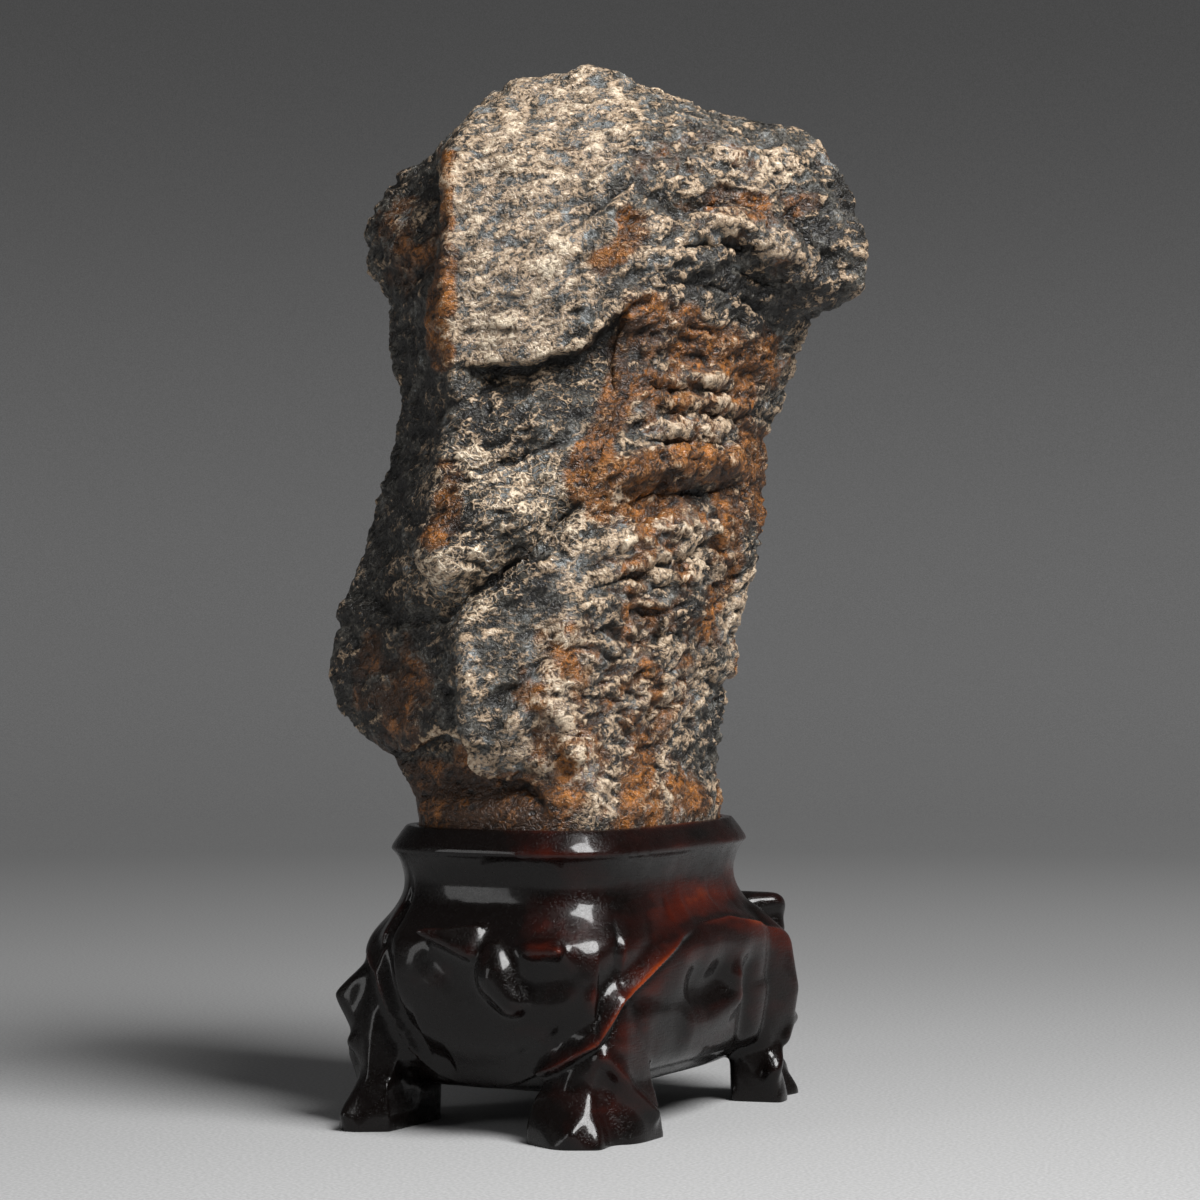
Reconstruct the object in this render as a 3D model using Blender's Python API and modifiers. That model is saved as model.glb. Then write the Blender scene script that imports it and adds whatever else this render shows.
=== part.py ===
"""A rugged scholar's rock standing in the socket of its carved hardwood stand.

Two solids: the stone, one natural piece, and the stand, one carved block on four feet.
Dimensions are in millimetres and become metres when a mesh is made. +Z is up, and the
origin is on the ground, under the middle of the whole part.

The stone is laid out as a collector sees it: "across" runs to the viewer's right, "deep"
runs away from the viewer, and SIGHT_TURN turns that view into the stand's own axes.
"""

import math

import bmesh
import bpy
import numpy as np
from mathutils import Vector, noise

MM = 0.001

# --- the whole part -------------------------------------------------------------------
SEAT_GAP = 0.35          # air between the stone and its socket
SIGHT_TURN = math.radians(28.5)
SIGHT_DISTANCE = 500.0   # from the eye to the stand's middle
SIGHT_HEIGHT = 74.0      # the eye's height above the ground

# --- stand ------------------------------------------------------------------------------
RIM_HALF_X = 21.5        # crest of the rim, half width and half length
RIM_HALF_Y = 30.5
RIM_SQUARENESS = 3.7     # exponent of the rim's superellipse
# how far the wall stands outside the rim's crest, at each height
WALL_PROFILE = (
    (45.6, -2.0), (42.4, 0.0), (41.4, -0.5), (39.8, -1.3), (37.0, -1.8), (34.4, -1.2),
    (31.6, 0.6), (28.8, 2.7), (26.0, 3.4), (21.0, 3.0), (15.0, 1.6), (10.5, -0.4),
    (7.6, -2.6), (6.4, -5.0),
)
STAND_TRIANGLES = 3300

# --- socket and the stone's foot -----------------------------------------------------------
FOOT_HALF_X = 18.4       # the stone's foot, where it enters the rim
FOOT_HALF_Y = 27.2
FOOT_SQUARENESS = 3.3
FOOT_BOTTOM = 38.6
FOOT_TOP = 47.0          # below this the stone is worn to the socket's outline
FOOT_BLEND = 9.0         # height over which that outline turns into the free stone
STONE_TRIANGLES = 6100

# The stone's long arrises and silhouettes, each as (height, across, deep) from the top down.
STONE_LINES = {
    "left": (
        (164.8, 5.0, -1), (164.4, 0.3, 0), (163.0, -6.8, 1), (160.5, -12.8, 2), (157.0, -16.4, 3),
        (153.8, -21.2, 5), (148.2, -27.5, 8), (139.0, -31.9, 8), (134.6, -32.8, 7),
        (128.3, -30.2, 5), (121.0, -28.8, 3), (112.6, -27.5, 1), (103.5, -28.3, 0),
        (95.9, -31.2, -2), (87.8, -32.4, -4), (83.1, -34.6, -5), (78.2, -36.8, -6),
        (70.7, -37.5, -7), (64.2, -37.0, -8), (59.1, -32.9, -9), (56.5, -27.7, -10),
        (53.9, -27.2, -11), (49.0, -25.7, -11),
    ),
    "front edge": (
        (164.6, 5.2, -2), (162.4, -2.0, -4), (158.7, -9.8, -7), (154.7, -14.4, -11),
        (148.8, -18.0, -17), (142.0, -18.7, -20), (131.4, -19.5, -22), (115.8, -18.0, -21),
        (105.9, -18.4, -20), (96.7, -20.1, -22), (86.0, -19.2, -25), (78.5, -17.2, -26),
        (68.0, -15.4, -28), (60.0, -16.0, -28), (55.2, -14.3, -25), (51.3, -11.5, -22),
    ),
    "seam": (
        (164.6, 5.5, -2), (161.8, 6.1, -4), (156.2, 8.1, -9), (150.6, 8.7, -15),
        (143.9, 7.9, -19), (134.4, 7.1, -22), (123.5, 8.9, -22), (115.8, 7.4, -21),
        (108.7, 6.6, -22), (96.5, 2.9, -25), (86.0, 0.3, -26), (73.1, -1.0, -27),
        (66.5, -2.5, -28), (58.9, 0.1, -28), (51.6, 1.8, -27),
    ),
    "flank": (
        (164.8, 6.0, -1), (159.6, 12.1, -3), (153.8, 19.8, -7), (148.3, 25.1, -10),
        (141.9, 26.5, -12), (134.1, 26.5, -12), (124.9, 24.4, -9), (116.9, 22.1, -8),
        (109.7, 20.9, -9), (97.2, 19.6, -11), (86.3, 18.0, -12), (72.5, 14.6, -12),
        (58.5, 13.8, -11), (50.8, 13.1, -11),
    ),
    "right": (
        (165.2, 6.2, 1), (162.1, 11.3, 3), (159.1, 19.6, 5), (157.1, 29.4, 6), (154.9, 38.9, 6),
        (150.3, 41.5, 5), (145.2, 44.3, 4), (140.9, 45.5, 2), (135.6, 46.6, 0), (130.2, 45.8, 1),
        (127.6, 44.0, 3), (125.5, 38.2, 6), (122.3, 37.5, 9), (116.6, 35.5, 11),
        (112.3, 33.5, 12), (108.0, 31.5, 12), (98.2, 31.2, 11), (91.7, 30.5, 10),
        (86.5, 28.8, 9), (82.8, 26.8, 8), (75.6, 26.2, 8), (70.0, 26.1, 9), (67.6, 23.8, 9),
        (59.2, 23.5, 9), (52.3, 22.4, 9),
    ),
    "back right": (
        (165.4, 5.9, 2), (162.6, 9.9, 5), (159.1, 18.9, 10), (155.4, 28.8, 15),
        (147.7, 35.5, 18), (137.8, 37.2, 18), (126.8, 30.8, 22), (108.8, 23.5, 24),
        (87.2, 19.3, 22), (64.1, 15.2, 23), (49.2, 12.7, 24),
    ),
    "back": (
        (165.6, 5.4, 3), (163.4, 2.7, 5), (159.6, -0.5, 11), (154.4, -2.1, 19),
        (143.7, -2.2, 25), (130.6, 0.3, 27), (117.1, -2.2, 24), (100.3, -4.6, 21),
        (80.6, -7.1, 22), (60.7, -5.5, 25), (49.0, -3.8, 27),
    ),
    "back left": (
        (165.4, 4.9, 2), (163.8, -2.1, 4), (160.1, -10.9, 9), (155.4, -18.4, 15),
        (146.3, -23.5, 20), (134.8, -26.5, 20), (122.9, -23.3, 16), (109.7, -22.9, 13),
        (96.6, -25.5, 10), (82.0, -28.1, 9), (67.6, -28.6, 9), (57.9, -23.8, 9),
        (49.9, -18.2, 9),
    ),
}

# Relief of the stone: kind, name, half width, height or depth, and the path (across, height)
# as seen from the eye. A ledge stands proud on the right-hand side of its path and is cut
# back under it on the left-hand side.
FRONT_RELIEF = (
    ("ledge", "pale face shelf", 7.0, 3.4, ((10.6, 127.1), (7.7, 125.8), (4.9, 123),
     (2.4, 120.5), (-3.3, 118.9), (-8.5, 117.9), (-18.5, 117.3))),
    ("ridge", "front arris", 2.0, 0.9, ((-18.5, 153), (-19.4, 144.8), (-20.5, 133.9),
     (-20.1, 127.7), (-19.1, 117.9))),
    ("crease", "diagonal cleft", 2.2, 1.4, ((-2.1, 137.2), (0.8, 140), (5.8, 143.8),
     (11.1, 148.3))),
    ("ridge", "diagonal rib", 1.5, 1.2, ((-0.5, 137.2), (5.8, 142.1), (11.4, 146.5))),
    ("crease", "rust gully", 3.4, 1.2, ((9.6, 143.5), (8.5, 138.9), (6.6, 134.8), (5.2, 129.3))),
    ("crease", "upper fold crease", 3.2, 2.4, ((10.6, 144.2), (13.7, 143.7), (17.5, 142.1),
     (21.6, 143), (24.8, 143.2), (28, 141.9), (30.2, 140.7), (33, 138.5))),
    ("ridge", "upper fold crest", 2.6, 1.6, ((15, 141.3), (21.6, 140.8), (25.4, 140.4),
     (30, 138.9), (33.3, 135.9), (35.9, 132.5))),
    ("crease", "shoulder hollow", 8.0, 3.0, ((23.5, 133.7), (28, 131.7), (32.7, 129),
     (35.9, 126.5))),
    ("ridge", "shoulder brow", 3.5, 1.2, ((18.5, 151.4), (26.4, 149.5), (34.3, 148.3),
     (39.3, 145.7))),
    ("crease", "lump crease", 3.0, 2.0, ((32.1, 144.2), (36.8, 139.7), (40.3, 133.7),
     (40.6, 129.3))),
    ("ridge", "shoulder lump", 4.0, 1.8, ((43.1, 140), (44.7, 136.3), (43.8, 131.8))),
    ("ridge", "upper bump row", 1.5, 0.8, ((10.6, 116), (18.5, 116.8), (27.6, 116.2))),
    ("ridge", "middle bump row", 1.5, 0.9, ((9.3, 111.3), (18.5, 112.2), (29.9, 111.8))),
    ("ridge", "lower bump row", 1.5, 0.8, ((8.7, 107), (18.5, 108), (28.9, 107.5))),
    ("ridge", "rust ledge", 2.8, 1.8, ((2.4, 97.9), (6.3, 101), (10, 101.8), (17.5, 102.6),
     (25.1, 101.2), (29.9, 98.6))),
    ("crease", "rust hollow", 5.0, 2.6, ((6.2, 93.9), (10.6, 95.6), (14.5, 96.4), (20.5, 97.5),
     (26.4, 96.3), (29.1, 94.2))),
    ("ridge", "nose", 6.5, 3.0, ((-4, 96.8), (-10.7, 93.3), (-18.2, 88.5), (-24.5, 83.2))),
    ("crease", "nose crease", 3.6, 3.2, ((-26.7, 77.5), (-22.6, 77.8), (-19.1, 79.4),
     (-15.8, 82.1), (-8.5, 87), (-5.2, 90.6), (-0.6, 95.3), (3, 97.4))),
    ("crease", "knob brow", 3.4, 1.8, ((-34.9, 81.9), (-30.5, 79.4), (-26.7, 77.5))),
    ("ridge", "knob arris", 2.0, 1.2, ((-18, 77.5), (-16.6, 71.3), (-16, 67), (-16.6, 63.1),
     (-17.7, 59.1))),
    ("ledge", "knob underside", 6.5, 3.4, ((-2.1, 44.6), (-4.4, 48.7), (-6.8, 50.9),
     (-10.3, 51.7), (-15.6, 54.1), (-17.4, 58), (-22, 58.5), (-28.3, 56.1))),
    ("ridge", "pink rib", 2.4, 1.3, ((-1.1, 74), (-1.4, 69.4), (-3.8, 65.3), (-1.1, 61.7),
     (0.2, 57.4))),
    ("crease", "lower cleft", 2.0, 1.5, ((-14.1, 64), (-7.4, 67), (-3, 73.7))),
    ("crease", "seam", 1.8, 1.0, ((8.4, 119.5), (7.3, 114.3), (6.5, 107.2), (4.1, 102.8),
     (2.4, 98.3))),
    ("crease", "left lobe cleft", 4.5, 2.4, ((-22.3, 151.4), (-23.5, 142.7), (-25.1, 133.7),
     (-27.6, 127.1))),
    ("ridge", "left fin", 3.4, 1.8, ((-27.6, 145.7), (-29.9, 139.6), (-31.4, 133.7))),
    ("crease", "flank bed 1", 2.4, 0.9, ((6.2, 80), (13.7, 81.9), (21, 85.1), (26.7, 88.5))),
    ("crease", "flank bed 2", 2.4, 0.9, ((4.3, 70.2), (12.2, 74), (20.1, 76.8), (25.6, 78.7))),
    ("crease", "flank bed 3", 2.2, 0.8, ((7.4, 58.2), (15, 63.6), (22, 66.1))),
    ("crease", "waist bed 1", 2.2, 1.0, ((-16.3, 100.9), (-6.8, 103.7), (1.1, 105.6),
     (5.2, 108.1))),
    ("ridge", "waist bed 2", 2.6, 1.0, ((-17.5, 105.6), (-8.4, 108.8), (4.3, 112.6))),
    ("crease", "shoulder bed", 2.0, 0.8, ((10.6, 129.3), (18.5, 130.6), (26.4, 127.7),
     (34.3, 123))),
)
# The same on the far side, with "across" still running to the front viewer's right.
BACK_RELIEF = (
    ("ledge", "back shelf", 7.0, 3.2, ((-19, 124), (-13, 119), (-5, 119.5), (3, 116), (9, 118),
     (15, 113))),
    ("ledge", "back lower shelf", 6.0, 2.4, ((10, 104), (17, 99), (22, 101), (27, 95))),
    ("crease", "back upper fold", 3.4, 2.4, ((-18, 146), (-10, 141), (-2, 143.5), (6, 140),
     (13, 143), (20, 137), (29, 140), (36, 136))),
    ("ridge", "back brow", 3.2, 1.6, ((-14, 151), (-4, 148.5), (6, 150.5), (18, 149), (30, 151))),
    ("ridge", "back rib", 3.6, 1.8, ((14, 133), (20, 124), (17, 114), (22, 106), (20, 97))),
    ("crease", "back seam", 2.6, 1.8, ((-4, 134), (-8, 127), (-5, 118), (-9, 108), (-8, 98),
     (-12, 90))),
    ("ridge", "back knee", 5.6, 2.4, ((-24, 92), (-16, 87), (-8, 88), (0, 83), (8, 86))),
    ("crease", "back knee crease", 3.6, 2.6, ((-30, 82), (-22, 78), (-14, 79), (-6, 75), (2, 78),
     (9, 83), (14, 90))),
    ("ledge", "back foot shelf", 5.4, 2.4, ((-27, 63), (-20, 59), (-12, 61), (-5, 57))),
    ("crease", "back bed 1", 2.4, 1.0, ((-20, 108), (-10, 105), (0, 106), (8, 99), (14, 92))),
    ("crease", "back bed 2", 2.4, 1.2, ((-4, 71), (4, 68), (12, 71), (21, 67))),
    ("ridge", "back bed 3", 2.6, 1.0, ((-30, 70), (-22, 67), (-12, 69), (-4, 64))),
    ("crease", "back hollow", 6.0, 2.6, ((12, 78), (17, 84))),
)

# --- carving of the stand -------------------------------------------------------------------
# The leaf's edge round the stand, as (x, y, height, lap), where lap is how strongly the leaf
# above the line stands over the leg below it; below zero the leg stands over the leaf.
LEAF_EDGE_HALF = (
    (-20.0, -30.0, 25.5, 0.8), (-17.4, -33.0, 23.0, 0.9), (-15.0, -33.5, 17.0, 1.0),
    (-12.5, -33.5, 12.0, 1.0), (-9.2, -33.5, 8.4, 1.0), (-4.9, -33.0, 6.6, 1.0),
    (-0.4, -33.0, 6.2, 1.0), (3.9, -33.0, 6.8, 1.0), (8.4, -33.0, 8.2, 1.0),
    (14.9, -33.0, 10.8, 1.0), (20.5, -29.5, 14.5, 1.0), (23.0, -25.6, 20.5, 1.0),
    (24.2, -17.0, 25.0, 0.9), (24.5, -9.0, 28.7, 0.5), (24.6, -1.4, 30.4, -0.2),
    (24.7, 9.5, 30.7, -0.7), (24.6, 18.0, 29.2, -0.8), (22.0, 29.0, 26.5, 0.2),
)
LEAF_STEP = 1.3          # how far the leaf stands over the leg
LEAF_FADE = 7.0          # height over which the step below the leaf dies out
LEAF_FLUTE = 0.4         # shallow flute inside the leaf's edge
# Carved strokes: kind, half width, depth or height, path (x, y, z)
STAND_RELIEF = (
    ("crease", 3.4, 2.4, ((-4.6, -34.0, 26.8), (-1.6, -34.0, 24.4))),
    ("crease", 2.0, 1.2, ((2.2, -34.0, 22.6), (3.4, -34.0, 19.4))),
    ("ridge", 1.3, 0.9, ((0.8, -34.0, 21.6), (2.2, -34.0, 20.8))),
    ("crease", 3.0, 1.8, ((11.4, -34.0, 24.8), (15.5, -33.5, 24.8))),
    ("crease", 4.4, 2.0, ((24.6, -3.6, 21.6), (24.6, 0.0, 20.0), (24.6, 4.4, 21.0))),
    ("ridge", 2.8, 1.6, ((24.6, -2.6, 15.2), (24.6, 2.5, 16.0), (24.6, 7.0, 19.4))),
    ("crease", 3.0, 1.4, ((24.4, 12.4, 23.0), (24.4, 13.4, 12.0))),
    ("crease", 3.4, 1.5, ((19.6, -30.6, 6.8), (22.8, -33.0, 0.0))),
)


# --- small tools ------------------------------------------------------------------------------
def clear_scene():
    for thing in list(bpy.data.objects):
        bpy.data.objects.remove(thing, do_unlink=True)


def collection(name):
    group = bpy.data.collections.new(name)
    bpy.context.scene.collection.children.link(group)
    return group


def add_object(name, mesh, group):
    thing = bpy.data.objects.new(name, mesh)
    group.objects.link(thing)
    return thing


def mesh_from_bmesh(name, bm):
    mesh = bpy.data.meshes.new(name)
    bm.to_mesh(mesh)
    bm.free()
    return mesh


def apply_modifiers(thing):
    """Replace the object's mesh by what its modifiers make of it."""
    depsgraph = bpy.context.evaluated_depsgraph_get()
    done = bpy.data.meshes.new_from_object(thing.evaluated_get(depsgraph))
    old = thing.data
    thing.modifiers.clear()
    thing.data = done
    bpy.data.meshes.remove(old)


def material(name, colour, roughness):
    made = bpy.data.materials.new(name)
    made.use_nodes = True
    shader = made.node_tree.nodes["Principled BSDF"]
    shader.inputs["Base Color"].default_value = (*colour, 1.0)
    shader.inputs["Roughness"].default_value = roughness
    shader.inputs["Metallic"].default_value = 0.0
    made.diffuse_color = (*colour, 1.0)
    return made


def smoothstep(low, high, value):
    t = np.clip((value - low) / (high - low), 0.0, 1.0)
    return t * t * (3.0 - 2.0 * t)


def loft(name, rings):
    """A closed skin through rings of equal count, listed from the bottom up."""
    bm = bmesh.new()
    loops = [[bm.verts.new(Vector(point) * MM) for point in ring] for ring in rings]
    count = len(rings[0])
    for low, high in zip(loops, loops[1:]):
        for i in range(count):
            j = (i + 1) % count
            bm.faces.new((low[i], low[j], high[j], high[i]))
    bm.faces.new(list(reversed(loops[0])))
    bm.faces.new(loops[-1])
    bmesh.ops.recalc_face_normals(bm, faces=bm.faces)
    return mesh_from_bmesh(name, bm)


def hull(name, points):
    """The convex hull of some points."""
    bm = bmesh.new()
    verts = [bm.verts.new(Vector(point) * MM) for point in points]
    made = bmesh.ops.convex_hull(bm, input=verts)
    spare = {v for v in made["geom_interior"] + made["geom_unused"] if isinstance(v, bmesh.types.BMVert)}
    bmesh.ops.delete(bm, geom=list(spare), context="VERTS")
    bmesh.ops.recalc_face_normals(bm, faces=bm.faces)
    return mesh_from_bmesh(name, bm)


def ball_points(centre, radius, steps=8):
    """Points on a ball, as the corners of a hull."""
    points = []
    for i in range(1, steps):
        tilt = math.pi * i / steps
        for j in range(2 * steps):
            turn = math.pi * j / steps
            points.append((centre[0] + radius * math.sin(tilt) * math.cos(turn),
                           centre[1] + radius * math.sin(tilt) * math.sin(turn),
                           centre[2] + radius * math.cos(tilt)))
    return points


def joined(name, meshes, group):
    """One object holding several closed meshes."""
    bm = bmesh.new()
    for mesh in meshes:
        bm.from_mesh(mesh)
        bpy.data.meshes.remove(mesh)
    return add_object(name, mesh_from_bmesh(name, bm), group)


def fuse(thing, voxel, rounds):
    """Melt overlapping shells into one skin and round it a little."""
    remesh = thing.modifiers.new("fuse", "REMESH")
    remesh.mode = "VOXEL"
    remesh.voxel_size = voxel * MM
    relax = thing.modifiers.new("relax", "SMOOTH")
    relax.factor = 0.5
    relax.iterations = rounds
    apply_modifiers(thing)


def read_mesh(mesh):
    """Vertex places and normals, in millimetres."""
    count = len(mesh.vertices)
    places = np.empty(count * 3)
    mesh.vertices.foreach_get("co", places)
    normals = np.empty(count * 3, dtype=np.float32)
    mesh.vertex_normals.foreach_get("vector", normals)
    return places.reshape(-1, 3) / MM, normals.reshape(-1, 3).astype(float)


def write_mesh(mesh, places):
    mesh.vertices.foreach_set("co", (places * MM).ravel())
    mesh.update()


# --- relief -------------------------------------------------------------------------------------
def rounded_path(path, cuts=4):
    """A smooth curve through the path's points."""
    path = np.asarray(path, dtype=float)
    before = np.vstack([2.0 * path[0] - path[1], path, 2.0 * path[-1] - path[-2]])
    curve = []
    for p0, p1, p2, p3 in zip(before, before[1:], before[2:], before[3:]):
        for cut_number in range(cuts):
            t = cut_number / cuts
            curve.append(0.5 * (2.0 * p1 + (p2 - p0) * t + (2.0 * p0 - 5.0 * p1 + 4.0 * p2 - p3) * t ** 2
                                + (3.0 * p1 - p0 - 3.0 * p2 + p3) * t ** 3))
    return np.array(curve + [path[-1]])


def path_distance(points, path):
    """Distance from each point to a path, the side it lies on, and how far it is from the ends."""
    curve = rounded_path(path)
    lengths = np.linalg.norm(np.diff(curve, axis=0), axis=1)
    nearest = np.full(len(points), np.inf)
    side = np.zeros(len(points))
    from_end = np.zeros(len(points))
    travelled = 0.0
    for start, end, length in zip(curve, curve[1:], lengths):
        run = end - start
        along = np.clip((points - start) @ run / (run @ run), 0.0, 1.0)
        offset = points - start - along[:, None] * run
        distance = np.linalg.norm(offset, axis=1)
        closer = distance < nearest
        nearest[closer] = distance[closer]
        right = offset[:, 0] * run[1] - offset[:, 1] * run[0]
        side[closer] = np.sign(right[closer])
        place = travelled + along * length
        from_end[closer] = np.minimum(place, lengths.sum() - place)[closer]
        travelled += length
    return nearest, side, from_end


def relief_height(kind, width, size, distance, side):
    """How far a stroke lifts the surface."""
    if kind == "ridge":
        return size * np.exp(-(distance / width) ** 2)
    if kind == "crease":
        return -size * np.clip(1.0 - distance / width, 0.0, 1.0) ** 1.5
    signed = distance * side
    lifted = 0.35 * size * np.exp(-(distance / width) ** 2)
    cut = -size * np.clip(1.0 - distance / (1.6 * width), 0.0, 1.0) ** 1.3
    blend = smoothstep(-0.7, 0.7, signed)
    return blend * lifted + (1.0 - blend) * cut


def cloud(place, scale, octaves):
    return noise.fractal(Vector(place) / scale, 1.0, 2.0, octaves)


# --- the stone ------------------------------------------------------------------------------------
RING_STEPS = 8           # points along each side of a ring
END_TAPER = 7.0          # length over which a stroke grows from its ends
WANDER = 1.0             # how far a stroke strays from its path


def superellipse_radius(turn, half_x, half_y, squareness):
    """Distance from the centre to the outline in one direction."""
    x = abs(math.cos(turn)) / half_x
    y = abs(math.sin(turn)) / half_y
    return (x ** squareness + y ** squareness) ** (-1.0 / squareness)


def stone_ring(height):
    """The stone's outline at one height, in the collector's view (across, deep)."""
    corners = []
    for line in STONE_LINES.values():
        knots = sorted(line)
        heights = [knot[0] for knot in knots]
        corners.append((np.interp(height, heights, [knot[1] for knot in knots]),
                        np.interp(height, heights, [knot[2] for knot in knots])))
    foot = 1.0 - float(smoothstep(FOOT_TOP, FOOT_TOP + FOOT_BLEND, height))
    taper = 0.9 + 0.1 * float(smoothstep(FOOT_BOTTOM, FOOT_BOTTOM + 4.0, height))
    ring = []
    for start, end in zip(corners, corners[1:] + corners[:1]):
        for step in range(RING_STEPS):
            share = step / RING_STEPS
            across = start[0] + share * (end[0] - start[0])
            deep = start[1] + share * (end[1] - start[1])
            turn = math.atan2(deep, across) + SIGHT_TURN
            radius = taper * superellipse_radius(turn, FOOT_HALF_X, FOOT_HALF_Y, FOOT_SQUARENESS)
            worn = (radius * math.cos(turn - SIGHT_TURN), radius * math.sin(turn - SIGHT_TURN))
            ring.append((across + foot * (worn[0] - across), deep + foot * (worn[1] - deep), height))
    return ring


def stone_heights():
    top = min(line[0][0] for line in STONE_LINES.values())
    low = list(np.arange(FOOT_BOTTOM, 150.0, 1.5))
    return low + list(np.arange(150.0, top, 0.7)) + [top]


def to_sight(places):
    """Where the eye sees each point: across and height in the plane of the stand's middle."""
    shrink = 1.0 / (1.0 + places[:, 1] / SIGHT_DISTANCE)
    height = SIGHT_HEIGHT + (places[:, 2] - SIGHT_HEIGHT) * shrink
    return np.column_stack([places[:, 0] * shrink, height])


def turned_to_eye(places):
    """1 on the side of the stone towards the eye, -1 on the far side, 0 at its edges."""
    heights = stone_heights()
    middles = np.array([np.mean([point[:2] for point in stone_ring(h)], axis=0) for h in heights])
    across = places[:, 0] - np.interp(places[:, 2], heights, middles[:, 0])
    deep = places[:, 1] - np.interp(places[:, 2], heights, middles[:, 1])
    return -deep / np.maximum(np.hypot(across, deep), 1e-6)


def carve_stone(mesh):
    """Press the named strokes and the weathered unevenness into the stone."""
    places, normals = read_mesh(mesh)
    free = smoothstep(FOOT_TOP - 0.5, FOOT_TOP + 3.0, places[:, 2])
    seen = to_sight(places)
    seen += np.array([[cloud(p, 9.0, 2), cloud(p + 40.0, 9.0, 2)] for p in places]) * WANDER
    facing = turned_to_eye(places)
    lift = np.zeros(len(places))
    for relief, share in ((FRONT_RELIEF, smoothstep(-0.4, 0.2, facing)),
                          (BACK_RELIEF, smoothstep(0.0, 0.5, -facing))):
        for kind, _, width, size, path in relief:
            distance, side, from_end = path_distance(seen, path)
            taper = 0.15 + 0.85 * smoothstep(0.0, END_TAPER, from_end)
            lift += share * taper * relief_height(kind, width, size, distance, side)
    rough = np.array([1.1 * cloud(p, 11.0, 3) + 0.45 * cloud(p * (1.0, 1.0, 2.2), 5.0, 2) for p in places])
    write_mesh(mesh, places + normals * (free * (lift + rough))[:, None])


def make_stone(group):
    rings = [stone_ring(height) for height in stone_heights()]
    stone = add_object("stone", loft("stone", rings), group)
    fuse(stone, 0.9, 5)
    carve_stone(stone.data)
    thin = stone.modifiers.new("facets", "DECIMATE")
    thin.ratio = STONE_TRIANGLES / (2.0 * len(stone.data.polygons))
    stone.rotation_euler = (0.0, 0.0, SIGHT_TURN)
    apply_modifiers(stone)
    turn_mesh(stone)
    stone.data.materials.append(material("weathered stone", (0.20, 0.16, 0.125), 0.6))
    stone.data.shade_smooth()
    stone.data.set_sharp_from_angle(angle=math.radians(50))
    return stone


def turn_mesh(thing):
    """Move an object's turn into its mesh."""
    thing.data.transform(thing.rotation_euler.to_matrix().to_4x4())
    thing.rotation_euler = (0.0, 0.0, 0.0)


# --- the stand --------------------------------------------------------------------------------------
def wall_ring(height, offset, steps=96):
    ring = []
    for i in range(steps):
        turn = 2.0 * math.pi * i / steps
        x = abs(math.cos(turn)) ** (2.0 / RIM_SQUARENESS) * (RIM_HALF_X + offset)
        y = abs(math.sin(turn)) ** (2.0 / RIM_SQUARENESS) * (RIM_HALF_Y + offset)
        ring.append((math.copysign(x, math.cos(turn)), math.copysign(y, math.sin(turn)), height))
    return ring


def body_mesh():
    return loft("body", [wall_ring(height, offset) for height, offset in reversed(WALL_PROFILE)])


# The four corners: side in x, side in y, inner and near edge of the foot, splay, what is above
LEGS = (
    (1, -1, 10.4, 17.2, 0.5, "plain"),
    (-1, -1, 13.2, 14.8, 0.0, "spur"),
    (1, 1, 15.2, 22.0, 1.0, "haunch"),
    (-1, 1, 12.4, 18.0, 0.0, "spur"),
)
PAD_UNDER = -2.0         # the feet are carved long and cut off level at the ground
ANKLE_HEIGHT = 8.4


def mirrored(points, sign_x, sign_y):
    return [(sign_x * x, sign_y * y, z) for x, y, z in points]


def leg_meshes(sign_x, sign_y, inner, near, splay, above):
    """One corner's foot, shin and haunch."""
    middle = (inner + 24.0) / 2.0
    pad = ((inner, 33.2), (middle - 1.0, 36.0), (middle + 0.6, 36.2), (22.6 + splay, 33.2 + splay),
           (24.8 + splay, 27.0), (24.7 + splay, near), (middle - 1.5, near - 2.0), (inner, near + 3.5))
    ankle = ((inner + 0.2, 31.4), (middle - 1.0, 32.6), (20.4, 31.0), (23.4, 27.0), (23.6, near + 0.2),
             (middle - 2.0, near - 2.0), (inner + 0.2, near + 3.0))
    foot = [(x, y, z) for x, y in pad for z in (PAD_UNDER, 0.8)]
    foot += [(x, y, ANKLE_HEIGHT) for x, y in ankle]
    foot += [(middle - 1.0, 35.2, 3.0), (24.6, near + 2.4, 3.6), (inner, 33.2, 6.4), (24.2, near + 0.1, 6.6)]
    shin = [(x, y, ANKLE_HEIGHT) for x, y in ankle]
    shin += ball_points((17.4, 25.6, 15.0), 7.6, 6) + ball_points((17.4, 24.0, 21.0), 7.6, 6)
    shapes = [foot, shin]
    if above == "spur":
        shapes.append(ball_points((18.0, 25.0, 18.4), 4.6, 6) + ball_points((25.0, 29.4, 18.4), 0.7, 6))
    if above == "haunch":
        shapes.append(ball_points((18.2, 25.2, 12.0), 6.0, 6) + ball_points((17.6, 22.4, 26.0), 6.4, 6)
                      + ball_points((23.2, 28.6, 17.6), 2.6, 6) + ball_points((22.6, 27.4, 25.0), 2.4, 6)
                      + ball_points((22.4, 28.4, 11.0), 2.4, 6))
    return [hull("leg", mirrored(points, sign_x, sign_y)) for points in shapes]


def skirt_meshes():
    """The wall's full belly between the feet of each long side."""
    shapes = []
    for sign in (1, -1):
        points = []
        for y in (-19.0, 19.0):
            points += ball_points((sign * 19.6, y, 12.8), 3.9, 6)
            points += ball_points((sign * 19.4, y, 18.0), 4.9, 6)
        shapes.append(hull("skirt", points))
    return shapes


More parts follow.
